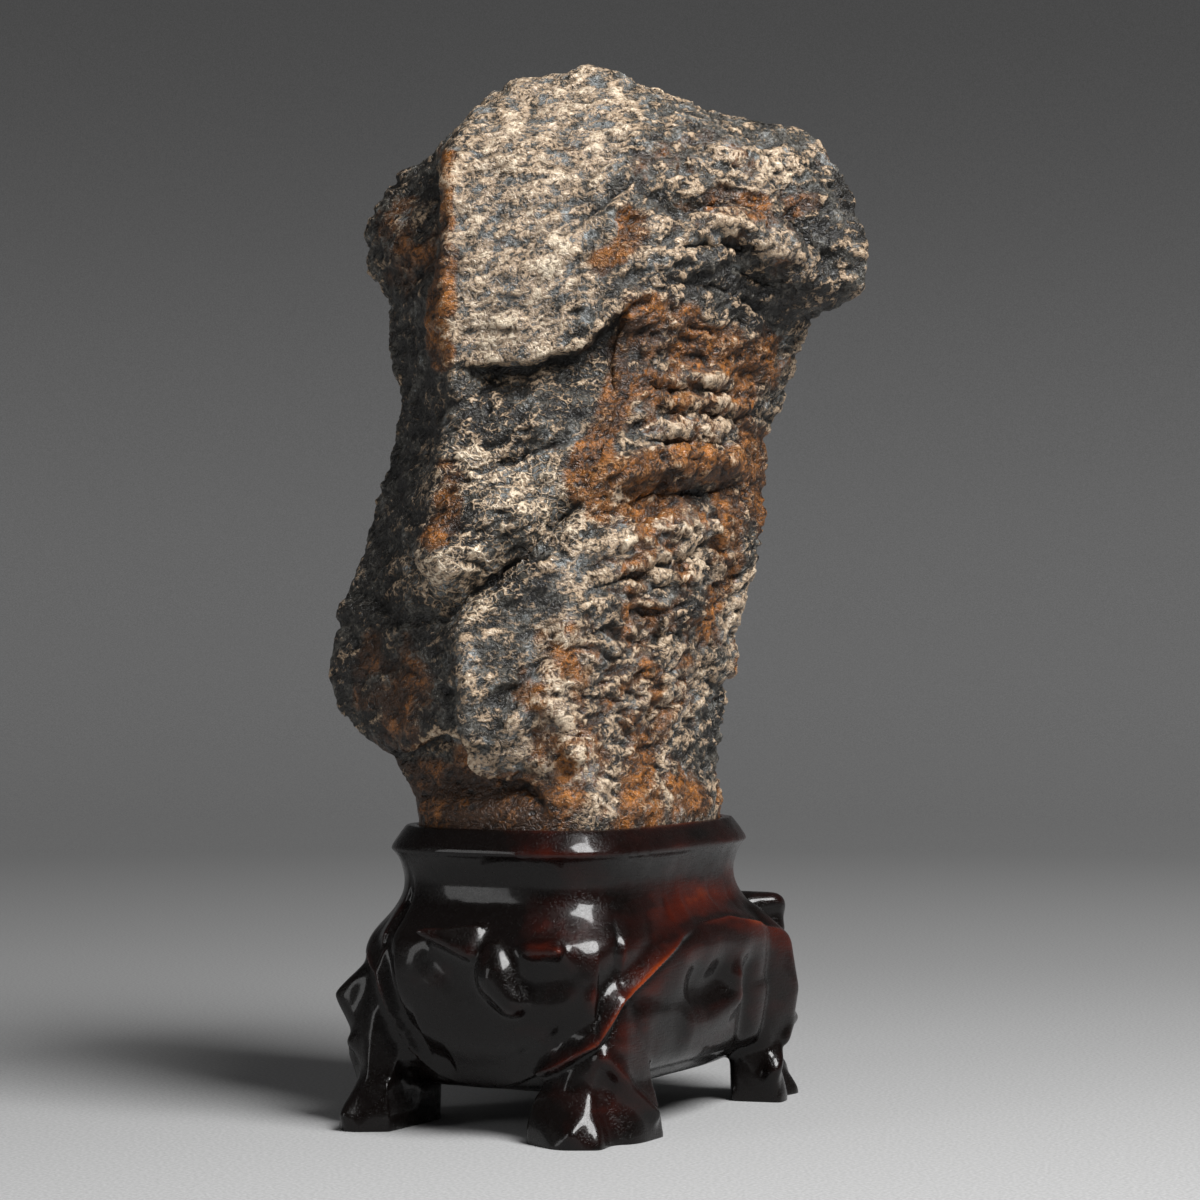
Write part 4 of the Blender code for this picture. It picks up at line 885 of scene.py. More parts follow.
    # wax lies thicker on the smooth light grains, so they shine more
    wax = add_node(tree, "ShaderNodeMapRange", {"Value": tone, "From Min": 0.7, "From Max": 1.0,
                                                "To Min": 0.38, "To Max": 0.2})
    shader = add_node(tree, "ShaderNodeBsdfPrincipled",
                      {"Base Color": colour, "Roughness": wax, "Normal": bump, "IOR": 1.54})
    add_node(tree, "ShaderNodeOutputMaterial", {"Surface": shader}, out=None)
    return finish


# %% Weather the stone
def seat(thing):
    """Turns the collector's view into the stand's axes and moves the piece to its place."""
    places, _ = read_mesh(thing.data)
    across, deep = places[:, 0].copy(), places[:, 1].copy()
    places[:, 0] = across * math.cos(SIGHT_TURN) - deep * math.sin(SIGHT_TURN) + STAND_AXIS.x
    places[:, 1] = across * math.sin(SIGHT_TURN) + deep * math.cos(SIGHT_TURN) + STAND_AXIS.y
    write_mesh(thing.data, places)


seat(stone_skin)
stone_finish = weathered_stone()
weather = stone_skin.modifiers.new("weathering", "NODES")
weather.node_group = weathering_tree(stone_finish)
bake(stone_skin)
print("stone weathered:", len(stone_skin.data.vertices), "points")

# %% [markdown]
# ### Fewer triangles where the stone is plain
#
# The even skin has more triangles than a piece needs: past 200,000 its exported mesh would be
# thinned without care. Decimating here takes them from the plain places first and leaves the
# crisp ones.

# %% Thin the mesh
MOST_STONE_TRIANGLES = 190000
MOST_STAND_TRIANGLES = 180000


def thinned(thing, most_triangles):
    triangles = sum(len(face.vertices) - 2 for face in thing.data.polygons)
    if triangles > most_triangles:
        thin = thing.modifiers.new("thin", "DECIMATE")
        thin.ratio = most_triangles / triangles
        bake(thing)
    thing.data.shade_smooth()
    print(f"{thing.name}: {triangles} triangles made, {len(thing.data.polygons)} kept")


thinned(stone_skin, MOST_STONE_TRIANGLES)

# %% [markdown]
# ## The stand
#
# The stand is carved from one block of dark hardwood: a rim that holds the stone, a hollow
# neck, a full belly whose leaf laps over the legs, and four clawed feet. A carver blocks out
# the big forms, then cuts the lines. The same order works here: a lofted body, hulls
# for legs and bosses, one melt, and then the carved strokes. Box modelling would need clean
# faces at every meeting of leg and leaf; melted shells may simply overlap.

# %% The stand's sizes
RIM_HALF_X = 21.5                   # crest of the rim, half width and half length
RIM_HALF_Y = 30.5
RIM_SQUARENESS = 3.7
BELLY_SQUARENESS = 4.3              # the leaf fills the corners more squarely than the rim
SOCKET_GAP = 0.35                   # air between the stone's foot and its socket
# how far the wall stands outside the rim's crest, at each height
WALL_PROFILE = (
    (45.6, -2.0), (42.4, 0.0), (41.4, -0.5), (39.8, -1.3), (37.0, -1.8), (34.4, -1.2),
    (31.6, 0.6), (28.8, 2.7), (26.0, 3.4), (21.0, 3.0), (15.0, 1.6), (10.5, -0.4),
    (7.6, -2.6), (6.4, -5.0),
)
# corners: side in x, side in y, inner and near edge of the foot, splay, what is above it
LEGS = (
    (1, -1, 10.4, 17.2, 0.5, "plain"),
    (-1, -1, 13.2, 14.8, 0.0, "spur"),
    (1, 1, 15.2, 22.0, 1.0, "haunch"),
    (-1, 1, 12.4, 18.0, 0.0, "spur"),
)
PAD_UNDER = -2.0                    # the feet are carved long and cut off level
PAD_TOP = 0.8
ANKLE_HEIGHT = 8.4
LEG_OUTSIDE = 24.0                  # a leg's outer face, from the stand's middle
STAND_VOXEL = 0.4
STAND_ROUNDS = 4


# %% The body
def wall_ring(height, offset, steps=160):
    """The wall's outline at one height: squarer in the belly than in the rim."""
    up = float(smoothstep(16.0, 27.0, height))
    squareness = BELLY_SQUARENESS + (RIM_SQUARENESS - BELLY_SQUARENESS) * up
    ring = []
    for i in range(steps):
        turn = 2.0 * math.pi * i / steps
        x = abs(math.cos(turn)) ** (2.0 / squareness) * (RIM_HALF_X + offset)
        y = abs(math.sin(turn)) ** (2.0 / squareness) * (RIM_HALF_Y + offset)
        ring.append((math.copysign(x, math.cos(turn)), math.copysign(y, math.sin(turn)), height))
    return ring


wall = rounded_path(WALL_PROFILE, cuts=5)
shells = [loft("body", [wall_ring(height, offset) for height, offset in wall[::-1]])]
print("wall:", len(wall), "rings")


# %% Legs, skirts and bosses
def mirrored(points, sign_x, sign_y):
    return [(sign_x * x, sign_y * y, z) for x, y, z in points]


def hull_of_balls(name, balls, sign_x=1, sign_y=1):
    """A soft form over balls, each given as a centre and a radius."""
    points = [point for centre, radius in balls for point in ball_points(centre, radius)]
    return hull(name, mirrored(points, sign_x, sign_y))


# what stands above a leg: balls (centre, radius)
SPUR = (((18.0, 25.4, 22.4), 4.4), ((17.6, 25.6, 12.6), 4.8), ((24.9, 29.0, 19.6), 0.9))
HAUNCH = (((18.2, 25.2, 12.0), 6.0), ((17.6, 22.4, 26.0), 6.4), ((23.2, 28.6, 17.6), 2.6),
          ((22.6, 27.4, 25.0), 2.4), ((22.4, 28.4, 11.0), 2.4))
# the full belly between the feet of a long side
SKIRT = (((19.6, -19.0, 12.8), 3.9), ((19.4, -19.0, 18.0), 4.9),
         ((19.6, 19.0, 12.8), 3.9), ((19.4, 19.0, 18.0), 4.9))
# the ornament on each end of the stand
HORN_TIP, SECOND_TIP = (-6.8, 36.0, 30.7), (16.8, 34.8, 28.6)
HORN = ((HORN_TIP, 0.4), ((1.8, 32.2, 31.2), 0.8), ((1.6, 34.4, 27.4), 0.9), ((-2.0, 30.0, 26.4), 1.5))
SWELLING = (((5.0, 32.8, 27.4), 2.2), ((5.6, 32.7, 24.2), 3.8), ((8.4, 33.2, 21.0), 2.7))
SECOND_HORN = (((10.8, 32.4, 28.0), 1.7), (SECOND_TIP, 0.6), ((13.0, 30.0, 27.6), 2.4))
FAR_KNOB = (((12.4, 30.6, 28.4), 4.6), ((18.2, 33.8, 29.4), 3.4), ((18.2, 33.8, 27.6), 3.4))


def leg_meshes(sign_x, sign_y, inner, near, splay, above):
    """One corner's foot, shin and haunch or spur."""
    middle = (inner + LEG_OUTSIDE) / 2.0
    pad = ((inner, 33.2), (middle - 1.0, 36.0), (middle + 0.6, 36.2), (22.6 + splay, 33.2 + splay),
           (24.8 + splay, 27.0), (24.7 + splay, near), (middle - 1.5, near - 2.0), (inner, near + 3.5))
    ankle = ((inner + 0.2, 31.4), (middle - 1.0, 32.6), (20.4, 31.0), (23.4, 27.0),
             (23.6, near + 0.2), (middle - 2.0, near - 2.0), (inner + 0.2, near + 3.0))
    ankle_points = [(x, y, ANKLE_HEIGHT) for x, y in ankle]
    foot = [(x, y, z) for x, y in pad for z in (PAD_UNDER, PAD_TOP)] + ankle_points
    foot += [(middle - 1.0, 35.2, 3.0), (24.6, near + 2.4, 3.6),
             (inner, 33.2, 6.4), (24.2, near + 0.1, 6.6)]
    shin = ankle_points + ball_points((17.4, 25.4, 14.4), 6.4) + ball_points((17.2, 24.4, 20.0), 6.4)
    made = [hull("leg", mirrored(points, sign_x, sign_y)) for points in (foot, shin)]
    if above != "plain":
        made.append(hull_of_balls(above, SPUR if above == "spur" else HAUNCH, sign_x, sign_y))
    return made


shells += [hull_of_balls("skirt", SKIRT, sign_x) for sign_x in (1, -1)]
for sign_y, second in ((-1, SECOND_HORN), (1, FAR_KNOB)):
    shells += [hull_of_balls(name, balls, 1, sign_y) for name, balls
               in (("horn", HORN), ("swelling", SWELLING), ("second horn", second))]
for leg in LEGS:
    shells += leg_meshes(*leg)
print(len(shells), "shells")

# %% Melt the stand and round it over
stand_skin = melted("stand_skin", shells, STAND_VOXEL, STAND_ROUNDS)

# the rim and the tips of the horns stay crisp; the neck, the belly and the feet are rounded over
NECK_TOP, RIM_UNDERSIDE = 36.6, 38.6
TIP_SOFTNESS = 0.25                 # what is left of the rounding at a tip
TIP_REACH = (1.5, 5.0)              # from where to where it comes back
ROUNDING_ROUNDS = 22
places, _ = read_mesh(stand_skin.data)
softness = 1.0 - smoothstep(NECK_TOP, RIM_UNDERSIDE, places[:, 2])
for tip in (HORN_TIP, SECOND_TIP):
    for sign_y in (1, -1):
        from_tip = np.linalg.norm(places - np.array(mirrored([tip], 1, sign_y)[0]), axis=1)
        softness *= TIP_SOFTNESS + (1.0 - TIP_SOFTNESS) * smoothstep(*TIP_REACH, from_tip)
round_over = stand_skin.vertex_groups.new(name="round over")
for share in range(1, 11):
    wanted = np.round(10.0 * softness) == share
    round_over.add([int(i) for i in np.flatnonzero(wanted)], share / 10.0, "REPLACE")
rounding = stand_skin.modifiers.new("round over", "SMOOTH")
rounding.factor = 0.5
rounding.iterations = ROUNDING_ROUNDS
rounding.vertex_group = "round over"
bake(stand_skin)
print(f"rounded over: {100.0 * np.mean(softness > 0.5):.0f} % of the stand")

# %% [markdown]
# ### Carved lines
#
# The leaf's edge runs all round the stand. Above the line the leaf stands over the leg;
# below it the wood is cut back, and the step dies out downwards. A fine lip stands on the edge,
# and a shallow flute follows it on the leaf, deepest where the edge climbs. The other strokes
# are the hollows under the horns, the soft hollows of the long sides, and the ridges and
# valleys of the feet. All of them are carved on the finished skin, as a carver would.

# %% The leaf's edge and the strokes
# (x, y, height, lap): lap is how strongly the leaf stands over the leg; below zero, the leg
# stands over the leaf
LEAF_EDGE_HALF = (
    (-20.0, -30.0, 25.5, 0.8), (-17.4, -33.0, 23.0, 0.9), (-15.0, -33.5, 17.0, 1.0),
    (-12.5, -33.5, 12.0, 1.0), (-9.2, -33.5, 8.4, 1.0), (-4.9, -33.0, 6.6, 1.0),
    (-0.4, -33.0, 6.2, 1.0), (3.9, -33.0, 6.8, 1.0), (8.4, -33.0, 8.2, 1.0),
    (14.9, -33.0, 10.8, 1.0), (20.5, -29.5, 14.5, 1.0), (23.0, -25.6, 20.5, 1.0),
    (24.2, -17.0, 25.0, 0.9), (24.5, -9.0, 28.7, 0.5), (24.6, -1.4, 30.4, -0.2),
    (24.7, 9.5, 30.7, -0.7), (24.6, 18.0, 29.2, -0.8), (22.0, 29.0, 26.5, 0.2),
)
LEAF_STEP = 1.3                     # how far the leaf stands over the leg
LEAF_FADE = 7.0                     # height over which the step below the leaf dies out
LEAF_LIP, LIP_WIDTH = 0.5, 0.9      # the fine edge that stands on the line
LEAF_FLUTE = 1.5                    # depth of the flute inside the leaf's edge
FLUTE_ABOVE, FLUTE_WIDTH = 3.2, 2.2      # how far above the edge it runs, and its half width
FLUTE_LEVEL = 0.35                  # share of its depth where the edge runs level
# kind, half width, depth or height, path (x, y, z)
STAND_RELIEF = (
    ("hollow", 3.2, 0.8, ((-5.0, -34.0, 26.0), (-2.4, -34.0, 24.2), (0.0, -34.0, 22.2))),
    ("hollow", 3.0, 0.9, ((12.0, -34.0, 23.8), (15.2, -33.0, 24.2))),
    ("hollow", 3.8, 1.7, ((24.6, -4.0, 21.2), (24.6, -0.5, 20.6), (24.6, 3.0, 21.4))),
    ("ridge", 3.2, 1.1, ((24.6, -6.0, 15.0), (24.6, -1.0, 15.4), (24.6, 4.5, 17.2))),
    ("ridge", 2.2, 1.3, ((24.6, 7.6, 21.4), (24.6, 8.4, 18.8))),
    ("hollow", 2.8, 1.3, ((24.4, 13.2, 22.0), (24.4, 13.6, 16.0), (24.4, 13.8, 9.0))),
)
# the ridges and valleys of a foot, for each corner
CLAW_RELIEF = (
    ("ridge", 1.4, 1.5, ((22.4, -31.0, 12.6), (21.2, -33.4, 8.2), (19.4, -35.6, 2.4))),
    ("ridge", 1.4, 1.4, ((23.0, -30.4, 12.6), (24.2, -25.6, 8.5), (24.8, -20.6, 3.6))),
    ("hollow", 3.2, 1.9, ((24.2, -30.4, 8.0), (24.4, -29.6, 4.6), (24.6, -29.0, -1.0))),
)


def leaf_edge(turn):
    """Height and lap of the leaf's edge at each direction round the stand."""
    knots = sorted((math.atan2(sign * y / RIM_HALF_Y, sign * x / RIM_HALF_X), height, lap)
                   for sign in (1, -1) for x, y, height, lap in LEAF_EDGE_HALF)
    turns, heights, laps = zip(*knots)
    return (np.interp(turn, turns, heights, period=2.0 * math.pi),
            np.interp(turn, turns, laps, period=2.0 * math.pi))


# %% Lay out the leaf's edge
places, normals = read_mesh(stand_skin.data)
turn = np.arctan2(places[:, 1] / RIM_HALF_Y, places[:, 0] / RIM_HALF_X)
step = math.radians(1.0)
edge, lap = leaf_edge(turn)
slope = (leaf_edge(turn + step)[0] - leaf_edge(turn - step)[0]) / (2.0 * step * RIM_HALF_Y)
above = (places[:, 2] - edge) / np.sqrt(1.0 + slope ** 2)     # square to the edge, not upright
under = -LEAF_STEP * lap * np.exp(np.minimum(above, 0.0) / LEAF_FADE)
lip = LEAF_LIP * lap * np.exp(-(above / LIP_WIDTH) ** 2)
steep = FLUTE_LEVEL + (1.0 - FLUTE_LEVEL) * np.minimum(np.abs(slope), 1.0)
flute = -LEAF_FLUTE * steep * np.abs(lap) * np.exp(-((above - FLUTE_ABOVE) / FLUTE_WIDTH) ** 2)
on_leaf = smoothstep(-0.35, 0.35, above)
# level surfaces and the soles are not carved
upright = np.minimum(2.0 * np.clip(1.0 - np.abs(normals[:, 2]), 0.0, 1.0), 1.0)
off_ground = smoothstep(2.0, 6.0, places[:, 2])
lift = off_ground * upright * (on_leaf * (lip + flute) + (1.0 - on_leaf) * under)
print(f"leaf's edge: lift {lift.min():.1f} to {lift.max():.1f} mm")

# %% Carve the stand
carved = [(kind, width, size, mirrored(path, sign, sign))
          for kind, width, size, path in STAND_RELIEF for sign in (1, -1)]
carved += [(kind, width, size, mirrored(path, sign_x, sign_y))
           for kind, width, size, path in CLAW_RELIEF for sign_x in (1, -1) for sign_y in (1, -1)]
for kind, width, size, path in carved:
    close, distance, side, _ = stroke(places, path, 3.0 * width)
    lift[close] += relief_height(kind, width, size, distance, side)
write_mesh(stand_skin.data, places + normals * lift[:, None])
print(f"strokes on the stand: {len(carved)}")

# %% [markdown]
# ### Feet and socket
#
# The feet are sawn level, and the socket is cut to the outline of the stone's foot with a
# hair of air round it. Sawing is a bisect, and the socket is one exact Boolean with a simple
# cutter: a cutter with few faces keeps it quick on a fine mesh.

# %% Saw the feet
bm = bmesh.new()
bm.from_mesh(stand_skin.data)
geometry = bm.verts[:] + bm.edges[:] + bm.faces[:]
bmesh.ops.bisect_plane(bm, geom=geometry, plane_co=(0.0, 0.0, 0.0), plane_no=(0.0, 0.0, -1.0),
                       clear_outer=True)
open_edges = [e for e in bm.edges if e.is_boundary]
bmesh.ops.holes_fill(bm, edges=open_edges, sides=0)
bmesh.ops.triangulate(bm, faces=[f for f in bm.faces if len(f.verts) > 4])
bm.to_mesh(stand_skin.data)
bm.free()
print("feet sawn level:", len(open_edges), "edges closed")


# %% The socket
def socket_ring(height, steps=120):
    ring = []
    for i in range(steps):
        turn = 2.0 * math.pi * i / steps
        radius = foot_radius(turn, height) + SOCKET_GAP
        ring.append((radius * math.cos(turn), radius * math.sin(turn), height))
    return ring


# the cutter follows the foot's taper, and its last ring is clear above the rim
SOCKET_HEIGHTS = (FOOT_BOTTOM - SOCKET_GAP, 39.6, 40.6, 41.6, 42.6, 48.0)
socket = bpy.data.objects.new("socket cutter", loft("socket", [socket_ring(h) for h in SOCKET_HEIGHTS]))
scene = bpy.context.scene
scene.collection.objects.link(socket)
opening = stand_skin.modifiers.new("socket", "BOOLEAN")
opening.operation = "DIFFERENCE"
opening.solver = "EXACT"
opening.object = socket
bake(stand_skin)
bpy.data.objects.remove(socket)
places, _ = read_mesh(stand_skin.data)
write_mesh(stand_skin.data, places + np.array(STAND_AXIS))
print("stand carved:", len(stand_skin.data.vertices), "points")

# %% [markdown]
# ### Oiled hardwood
#
# The wood is a dense, dark rosewood, hand-polished with oil and wax until it is glossy. The
# eye sees an almost black brown that turns red where handling has thinned it, long fine
# pores, and sharp but slightly broken highlights. The red on the +X side and part of the red and
# orange on the standing edges are painted light, the glow of the key light. Its refractive index
# is near 1.52, and a clear coat stands for the wax. The tree first adds the knife's marks and
# measures where the edges stand out, because the polish wears those and the painted edge light
# follows them.

# %% Tool marks, wear and painted edge light
TOOLING = (("Mark size", 5.0), ("Mark height", 0.07))


def tooling_tree(finish):
    """Slight unevenness from the knife, and a measure of the edges, where the polish wears and where edge
    light is painted.
    """
    tree = bpy.data.node_groups.new("tooling", "GeometryNodeTree")
    tree.interface.new_socket("Geometry", in_out="INPUT", socket_type="NodeSocketGeometry")
    tree.interface.new_socket("Geometry", in_out="OUTPUT", socket_type="NodeSocketGeometry")
    for name, default in TOOLING:
        socket = tree.interface.new_socket(name, in_out="INPUT", socket_type="NodeSocketFloat")
        socket.default_value = default
    given = add_node(tree, "NodeGroupInput", out=None).outputs
    position = add_node(tree, "GeometryNodeInputPosition")
    normal = add_node(tree, "GeometryNodeInputNormal")
    place = add_node(tree, "ShaderNodeVectorMath", {0: position, "Scale": 1.0 / MM}, operation="SCALE")
    mark_scale = add_node(tree, "ShaderNodeMath", {0: 1.0, 1: given["Mark size"]}, operation="DIVIDE")
    marks = add_node(tree, "ShaderNodeTexNoise", {"Vector": place, "Scale": mark_scale, "Detail": 1.0})
    marks = add_node(tree, "ShaderNodeMath", {0: marks, 1: 0.5}, operation="SUBTRACT")
    # the noise keeps within about a third of its middle, so three times it reaches from -1 to 1
    marks = add_node(tree, "ShaderNodeMath", {0: marks, 1: 3.0}, operation="MULTIPLY")
    marks = add_node(tree, "ShaderNodeMath", {0: marks, 1: given["Mark height"]}, operation="MULTIPLY")
    marks = add_node(tree, "ShaderNodeMath", {0: marks, 1: MM}, operation="MULTIPLY")
    # the soles stay flat
    height = add_node(tree, "ShaderNodeSeparateXYZ", {"Vector": place}, out="Z")
    off_ground = add_node(tree, "ShaderNodeMapRange", {"Value": height, "From Min": 0.2, "From Max": 2.0})
    marks = add_node(tree, "ShaderNodeMath", {0: marks, 1: off_ground}, operation="MULTIPLY")
    offset = add_node(tree, "ShaderNodeVectorMath", {0: normal, "Scale": marks}, operation="SCALE")
    moved = add_node(tree, "GeometryNodeSetPosition", {"Geometry": given["Geometry"], "Offset": offset})
    around = add_node(tree, "GeometryNodeBlurAttribute", {"Value": position, "Iterations": 14},
                      data_type="FLOAT_VECTOR")
    apart = add_node(tree, "ShaderNodeVectorMath", {0: position, 1: around}, operation="SUBTRACT")
    proud = add_node(tree, "ShaderNodeVectorMath", {0: apart, 1: normal}, out="Value",
                     operation="DOT_PRODUCT")
    proud = add_node(tree, "ShaderNodeMath", {0: proud, 1: 1.0 / MM}, operation="MULTIPLY")
    moved = add_node(tree, "GeometryNodeStoreNamedAttribute",
                     {"Geometry": moved, "Name": "proud", "Value": proud}, data_type="FLOAT", domain="POINT")
    real = add_node(tree, "GeometryNodeRealizeInstances", {"Geometry": moved})
    finished = add_node(tree, "GeometryNodeSetMaterial", {"Geometry": real, "Material": finish})
    add_node(tree, "NodeGroupOutput", {"Geometry": finished}, out=None)
    return tree


# %% Oiled rosewood
WOOD_BLACK = linear("0B0706")       # oiled heartwood
WOOD_BROWN = linear("1A0A08")
WOOD_RED = linear("3D130A")         # edges that handling has thinned, and the painted glow of the key light on the +X side and on standing edges
WOOD_ORANGE = linear("86350F")      # the brightest streaks, on worn edges and as painted edge light


def oiled_rosewood():
    finish = bpy.data.materials.new("oiled dark rosewood")
    finish.use_nodes = True
    tree = finish.node_tree
    tree.nodes.clear()
    where = add_node(tree, "ShaderNodeTexCoord", {}, out="Object")
    place = add_node(tree, "ShaderNodeVectorMath", {0: where, "Scale": 1.0 / MM}, operation="SCALE")
    proud = add_node(tree, "ShaderNodeAttribute", {}, out="Fac", attribute_name="proud")

    # figure: slow dark and red clouds, drawn out along the block
    along = add_node(tree, "ShaderNodeVectorMath", {0: place, 1: (1.0, 0.35, 1.0)}, operation="MULTIPLY")
    clouds = add_node(tree, "ShaderNodeTexNoise", {"Vector": along, "Scale": 1.0 / 13.0, "Detail": 4.0,
                                                   "Roughness": 0.55})
    # painted light: the colour is redder towards the +X long side, which the key light falls on, over the
    # heartwood's own clouds
    side = add_node(tree, "ShaderNodeSeparateXYZ", {"Vector": place}, out="X")
    side = add_node(tree, "ShaderNodeMapRange", {"Value": side, "From Min": -12.0, "From Max": 20.0,
                                                 "To Min": -0.06, "To Max": 0.17})
    figure_and_painted_light = add_node(tree, "ShaderNodeMath", {0: clouds, 1: side}, operation="ADD")
    # edges that stand out are redder from the belly up, partly wear and partly painted edge light; the colour
    # is darker from 16 mm down towards the feet and above 37 mm on the rim
    level = add_node(tree, "ShaderNodeSeparateXYZ", {"Vector": place}, out="Z")
    edge_wear_and_painted_light = add_node(tree, "ShaderNodeMapRange", {"Value": level, "From Min": 4.0, "From Max": 16.0,
                                                   "To Min": 0.0, "To Max": 0.4})
    figure_and_painted_light = add_node(tree, "ShaderNodeMath", {0: proud, 1: edge_wear_and_painted_light, 2: figure_and_painted_light}, operation="MULTIPLY_ADD")
    for start, end, darker in ((16.0, 4.0, -0.2), (37.0, 40.0, -0.07)):
        band = add_node(tree, "ShaderNodeMapRange", {"Value": level, "From Min": start, "From Max": end,
                                                     "To Max": darker})
        figure_and_painted_light = add_node(tree, "ShaderNodeMath", {0: figure_and_painted_light, 1: band}, operation="ADD")
    ramp = add_node(tree, "ShaderNodeValToRGB", {"Fac": figure_and_painted_light}, out=None)
    stops = ramp.color_ramp.elements
    stops[0].position, stops[0].color = 0.55, WOOD_BLACK
    stops[1].position, stops[1].color = 0.66, WOOD_BROWN
    stops.new(0.8).color = WOOD_RED
    stops.new(1.0).color = WOOD_ORANGE

    # pores: fine dashes along the block, about 0.3 by 2.5 mm, a little coarser than real ones so
    # that they show
    dashes = add_node(tree, "ShaderNodeVectorMath", {0: place, 1: (1.0, 0.12, 1.0)}, operation="MULTIPLY")
    pores = add_node(tree, "ShaderNodeTexNoise", {"Vector": dashes, "Scale": 1.0 / 0.3, "Detail": 2.0})
    pores = add_node(tree, "ShaderNodeMapRange", {"Value": pores, "From Min": 0.36, "From Max": 0.5})
    # the polish is uneven, and thin scratches run up and down
    smear = add_node(tree, "ShaderNodeTexNoise", {"Vector": place, "Scale": 1.0 / 1.4, "Detail": 4.0,
                                                  "Roughness": 0.7})
    gloss = add_node(tree, "ShaderNodeMapRange", {"Value": smear, "From Min": 0.35, "From Max": 0.7,
                                                  "To Min": 0.18, "To Max": 0.36})
    scratch = add_node(tree, "ShaderNodeVectorMath", {0: place, 1: (1.0, 1.0, 0.35)}, operation="MULTIPLY")
    scratch = add_node(tree, "ShaderNodeTexNoise", {"Vector": scratch, "Scale": 1.0 / 0.4, "Detail": 3.0,
                                                    "Roughness": 0.7})
    uneven = add_node(tree, "ShaderNodeMath", {0: pores, 1: 0.5, 2: scratch}, operation="MULTIPLY_ADD")
    bump = add_node(tree, "ShaderNodeBump", {"Height": uneven, "Strength": 1.0, "Distance": 0.05 * MM})
    shader = add_node(tree, "ShaderNodeBsdfPrincipled",
                      {"Base Color": ramp.outputs["Color"], "Roughness": gloss, "Normal": bump, "IOR": 1.52,
                       "Specular IOR Level": 0.12, "Coat Weight": 0.36, "Coat Roughness": 0.1})
    add_node(tree, "ShaderNodeOutputMaterial", {"Surface": shader}, out=None)
    return finish


tooling = stand_skin.modifiers.new("tooling", "NODES")
tooling.node_group = tooling_tree(oiled_rosewood())
bake(stand_skin)
thinned(stand_skin, MOST_STAND_TRIANGLES)
print("stand finished in", stand_skin.data.materials[0].name)

# %% [markdown]
# ## The studio
#
# A pale floor that curves up all round, with a pool of light and a darker wall painted into its
# colour, one soft light to the right and above, and a weak narrow one to the left, whose
# reflection draws the edge of the polished wood. The floor is a lathe of one profile, so that no
# seam or corner shows from any side.

# %% Floor
# radius and level in metres, from the middle of the floor to the top of the wall
FLOOR_PROFILE = ((0.3, 0.0), (0.62, 0.0), (0.72, 0.006), (0.82, 0.03), (0.92, 0.08), (1.0, 0.16),
                 (1.05, 0.27), (1.07, 0.4), (1.08, 0.7), (1.08, 1.0))
FLOOR_SIDES = 96
bm = bmesh.new()
rings = []
for radius, level in FLOOR_PROFILE:
    rings.append([bm.verts.new((radius * math.cos(2 * math.pi * i / FLOOR_SIDES),
                                radius * math.sin(2 * math.pi * i / FLOOR_SIDES), level))
                  for i in range(FLOOR_SIDES)])
bm.faces.new(rings[0])
for low, high in zip(rings, rings[1:]):
    for i in range(FLOOR_SIDES):
        j = (i + 1) % FLOOR_SIDES
        bm.faces.new((low[j], low[i], high[i], high[j]))
studio = bpy.data.objects.new("studio_floor", mesh_from_bmesh("studio_floor", bm))
scene.collection.objects.link(studio)
studio.data.shade_smooth()
print("floor:", len(studio.data.polygons), "faces")

# %% Studio paper
paper = bpy.data.materials.new("pale grey studio paper with painted light and shade")
paper.use_nodes = True
tree = paper.node_tree
tree.nodes.clear()
where = add_node(tree, "ShaderNodeTexCoord", {}, out="Object")
fibre = add_node(tree, "ShaderNodeTexNoise", {"Vector": where, "Scale": 1800.0, "Detail": 2.0})
tint = add_node(tree, "ShaderNodeMapRange", {"Value": fibre, "From Min": 0.3, "From Max": 0.7,
                                             "To Min": 0.32, "To Max": 0.43})
# painted light: the paper's tone is lightest in a pool in front of the stand and falls off with distance;
# painted shade makes it greyer up the wall
from_front = add_node(tree, "ShaderNodeVectorMath", {0: where, 1: (0.09, -0.17, 0.0)}, out="Value",
                      operation="DISTANCE")
painted_light_falloff = add_node(tree, "ShaderNodeMapRange", {"Value": from_front, "From Min": 0.05, "From Max": 0.45,
                                             "To Min": 0.92, "To Max": 0.62}, interpolation_type="SMOOTHSTEP")
level = add_node(tree, "ShaderNodeSeparateXYZ", {"Vector": where}, out="Z")
painted_wall_shade = add_node(tree, "ShaderNodeMapRange",
                 {"Value": level, "From Min": 0.0, "From Max": 0.42, "To Min": 1.25, "To Max": 0.53},
                 interpolation_type="SMOOTHSTEP")
painted_light_falloff = add_node(tree, "ShaderNodeMath", {0: painted_light_falloff, 1: painted_wall_shade}, operation="MULTIPLY")
tint = add_node(tree, "ShaderNodeMath", {0: tint, 1: painted_light_falloff}, operation="MULTIPLY")
tint = add_node(tree, "ShaderNodeCombineColor", {0: tint, 1: tint, 2: tint})
shader = add_node(tree, "ShaderNodeBsdfPrincipled", {"Base Color": tint, "Roughness": 0.85})
add_node(tree, "ShaderNodeOutputMaterial", {"Surface": shader}, out=None)
studio.data.materials.append(paper)
studio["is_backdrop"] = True
print("floor covered in", paper.name)

# %% Lights
sight_right = Vector((math.cos(SIGHT_TURN), math.sin(SIGHT_TURN), 0.0))
sight_away = Vector((-math.sin(SIGHT_TURN), math.cos(SIGHT_TURN), 0.0))
TARGET = Vector((0.0, 0.0, 0.08))   # what the lights point at, in metres


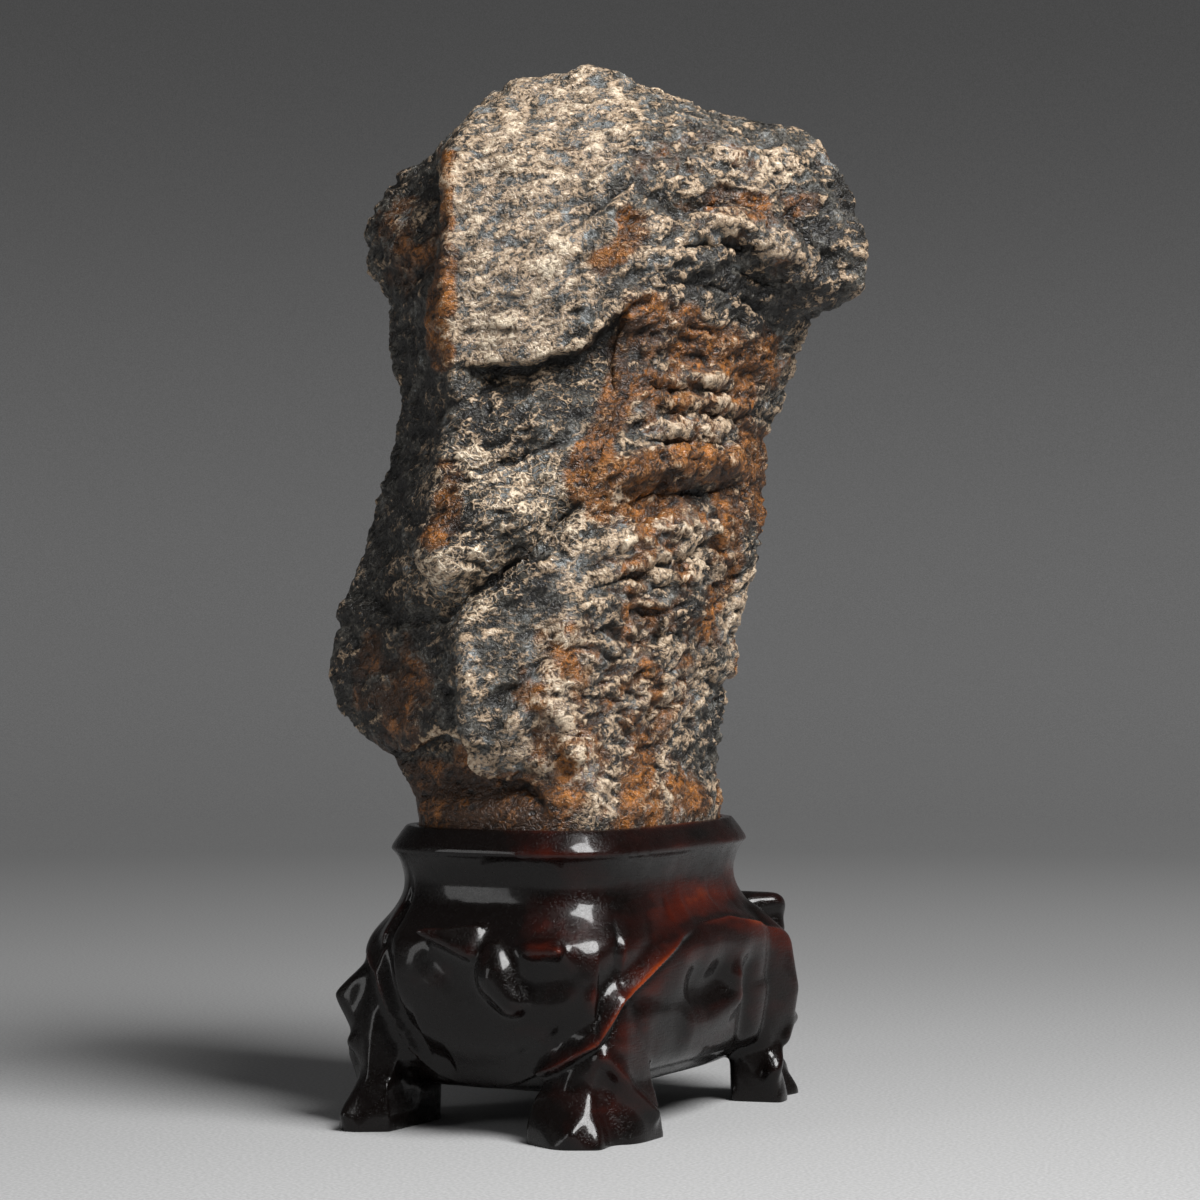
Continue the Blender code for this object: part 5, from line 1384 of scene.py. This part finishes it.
def soft_light(name, right, away, up, size, power):
    """A rectangle of light, placed from the target as the eye sees it, in metres and watts."""
    lamp = bpy.data.lights.new(name, "AREA")
    lamp.shape = "RECTANGLE"
    lamp.size, lamp.size_y = size
    lamp.energy = power
    thing = bpy.data.objects.new(name, lamp)
    scene.collection.objects.link(thing)
    thing.location = TARGET + sight_right * right + sight_away * away + Vector((0.0, 0.0, up))
    thing.rotation_euler = (TARGET - thing.location).to_track_quat("-Z", "Y").to_euler()
    thing.visible_camera = False
    print(f"{name}: {power} W")


soft_light("key light", 0.36, -0.36, 0.6, (0.38, 0.38), 11.2)
soft_light("left light", -0.6, -0.35, 0.10, (0.16, 0.5), 0.8)
world = bpy.data.worlds.new("studio air")
scene.world = world
world.use_nodes = True
air = world.node_tree.nodes["Background"].inputs
air["Color"].default_value = (0.5, 0.5, 0.52, 1.0)
air["Strength"].default_value = 0.12

# %% Camera
LENS_PIXELS = 3165.0                # focal length in pixels of the 1200-pixel frame
FRAME_PIXELS = 1200.0
HORIZON_DOWN = 40.0                 # pixels from the frame's middle down to eye height
EYE_RIGHT = 4.27                    # the eye is this far to the right of the stand's middle
SENSOR = 36.0
camera = bpy.data.cameras.new("camera")
camera.sensor_width = SENSOR
camera.lens = SENSOR * LENS_PIXELS / FRAME_PIXELS
camera.clip_start = 0.01
eye = bpy.data.objects.new("camera", camera)
scene.collection.objects.link(eye)
eye.location = (STAND_AXIS * MM + sight_right * EYE_RIGHT * MM - sight_away * SIGHT_DISTANCE * MM
                + Vector((0.0, 0.0, SIGHT_HEIGHT * MM)))
pitch = math.atan(HORIZON_DOWN / LENS_PIXELS)
forward = sight_away * math.cos(pitch) + Vector((0.0, 0.0, math.sin(pitch)))
eye.rotation_euler = forward.to_track_quat("-Z", "Y").to_euler()
scene.camera = eye
scene.view_settings.view_transform = "Standard"
print(f"camera: {camera.lens:.0f} mm lens, eye {SIGHT_HEIGHT} mm above the ground")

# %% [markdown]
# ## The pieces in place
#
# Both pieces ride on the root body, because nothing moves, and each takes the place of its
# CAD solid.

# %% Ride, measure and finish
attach(stone_skin, "root")
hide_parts("stone")
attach(stand_skin, "root")
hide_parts("stand")
low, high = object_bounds()
print("visual box, mm:", [round(v / MM, 1) for v in (*low, *high)])
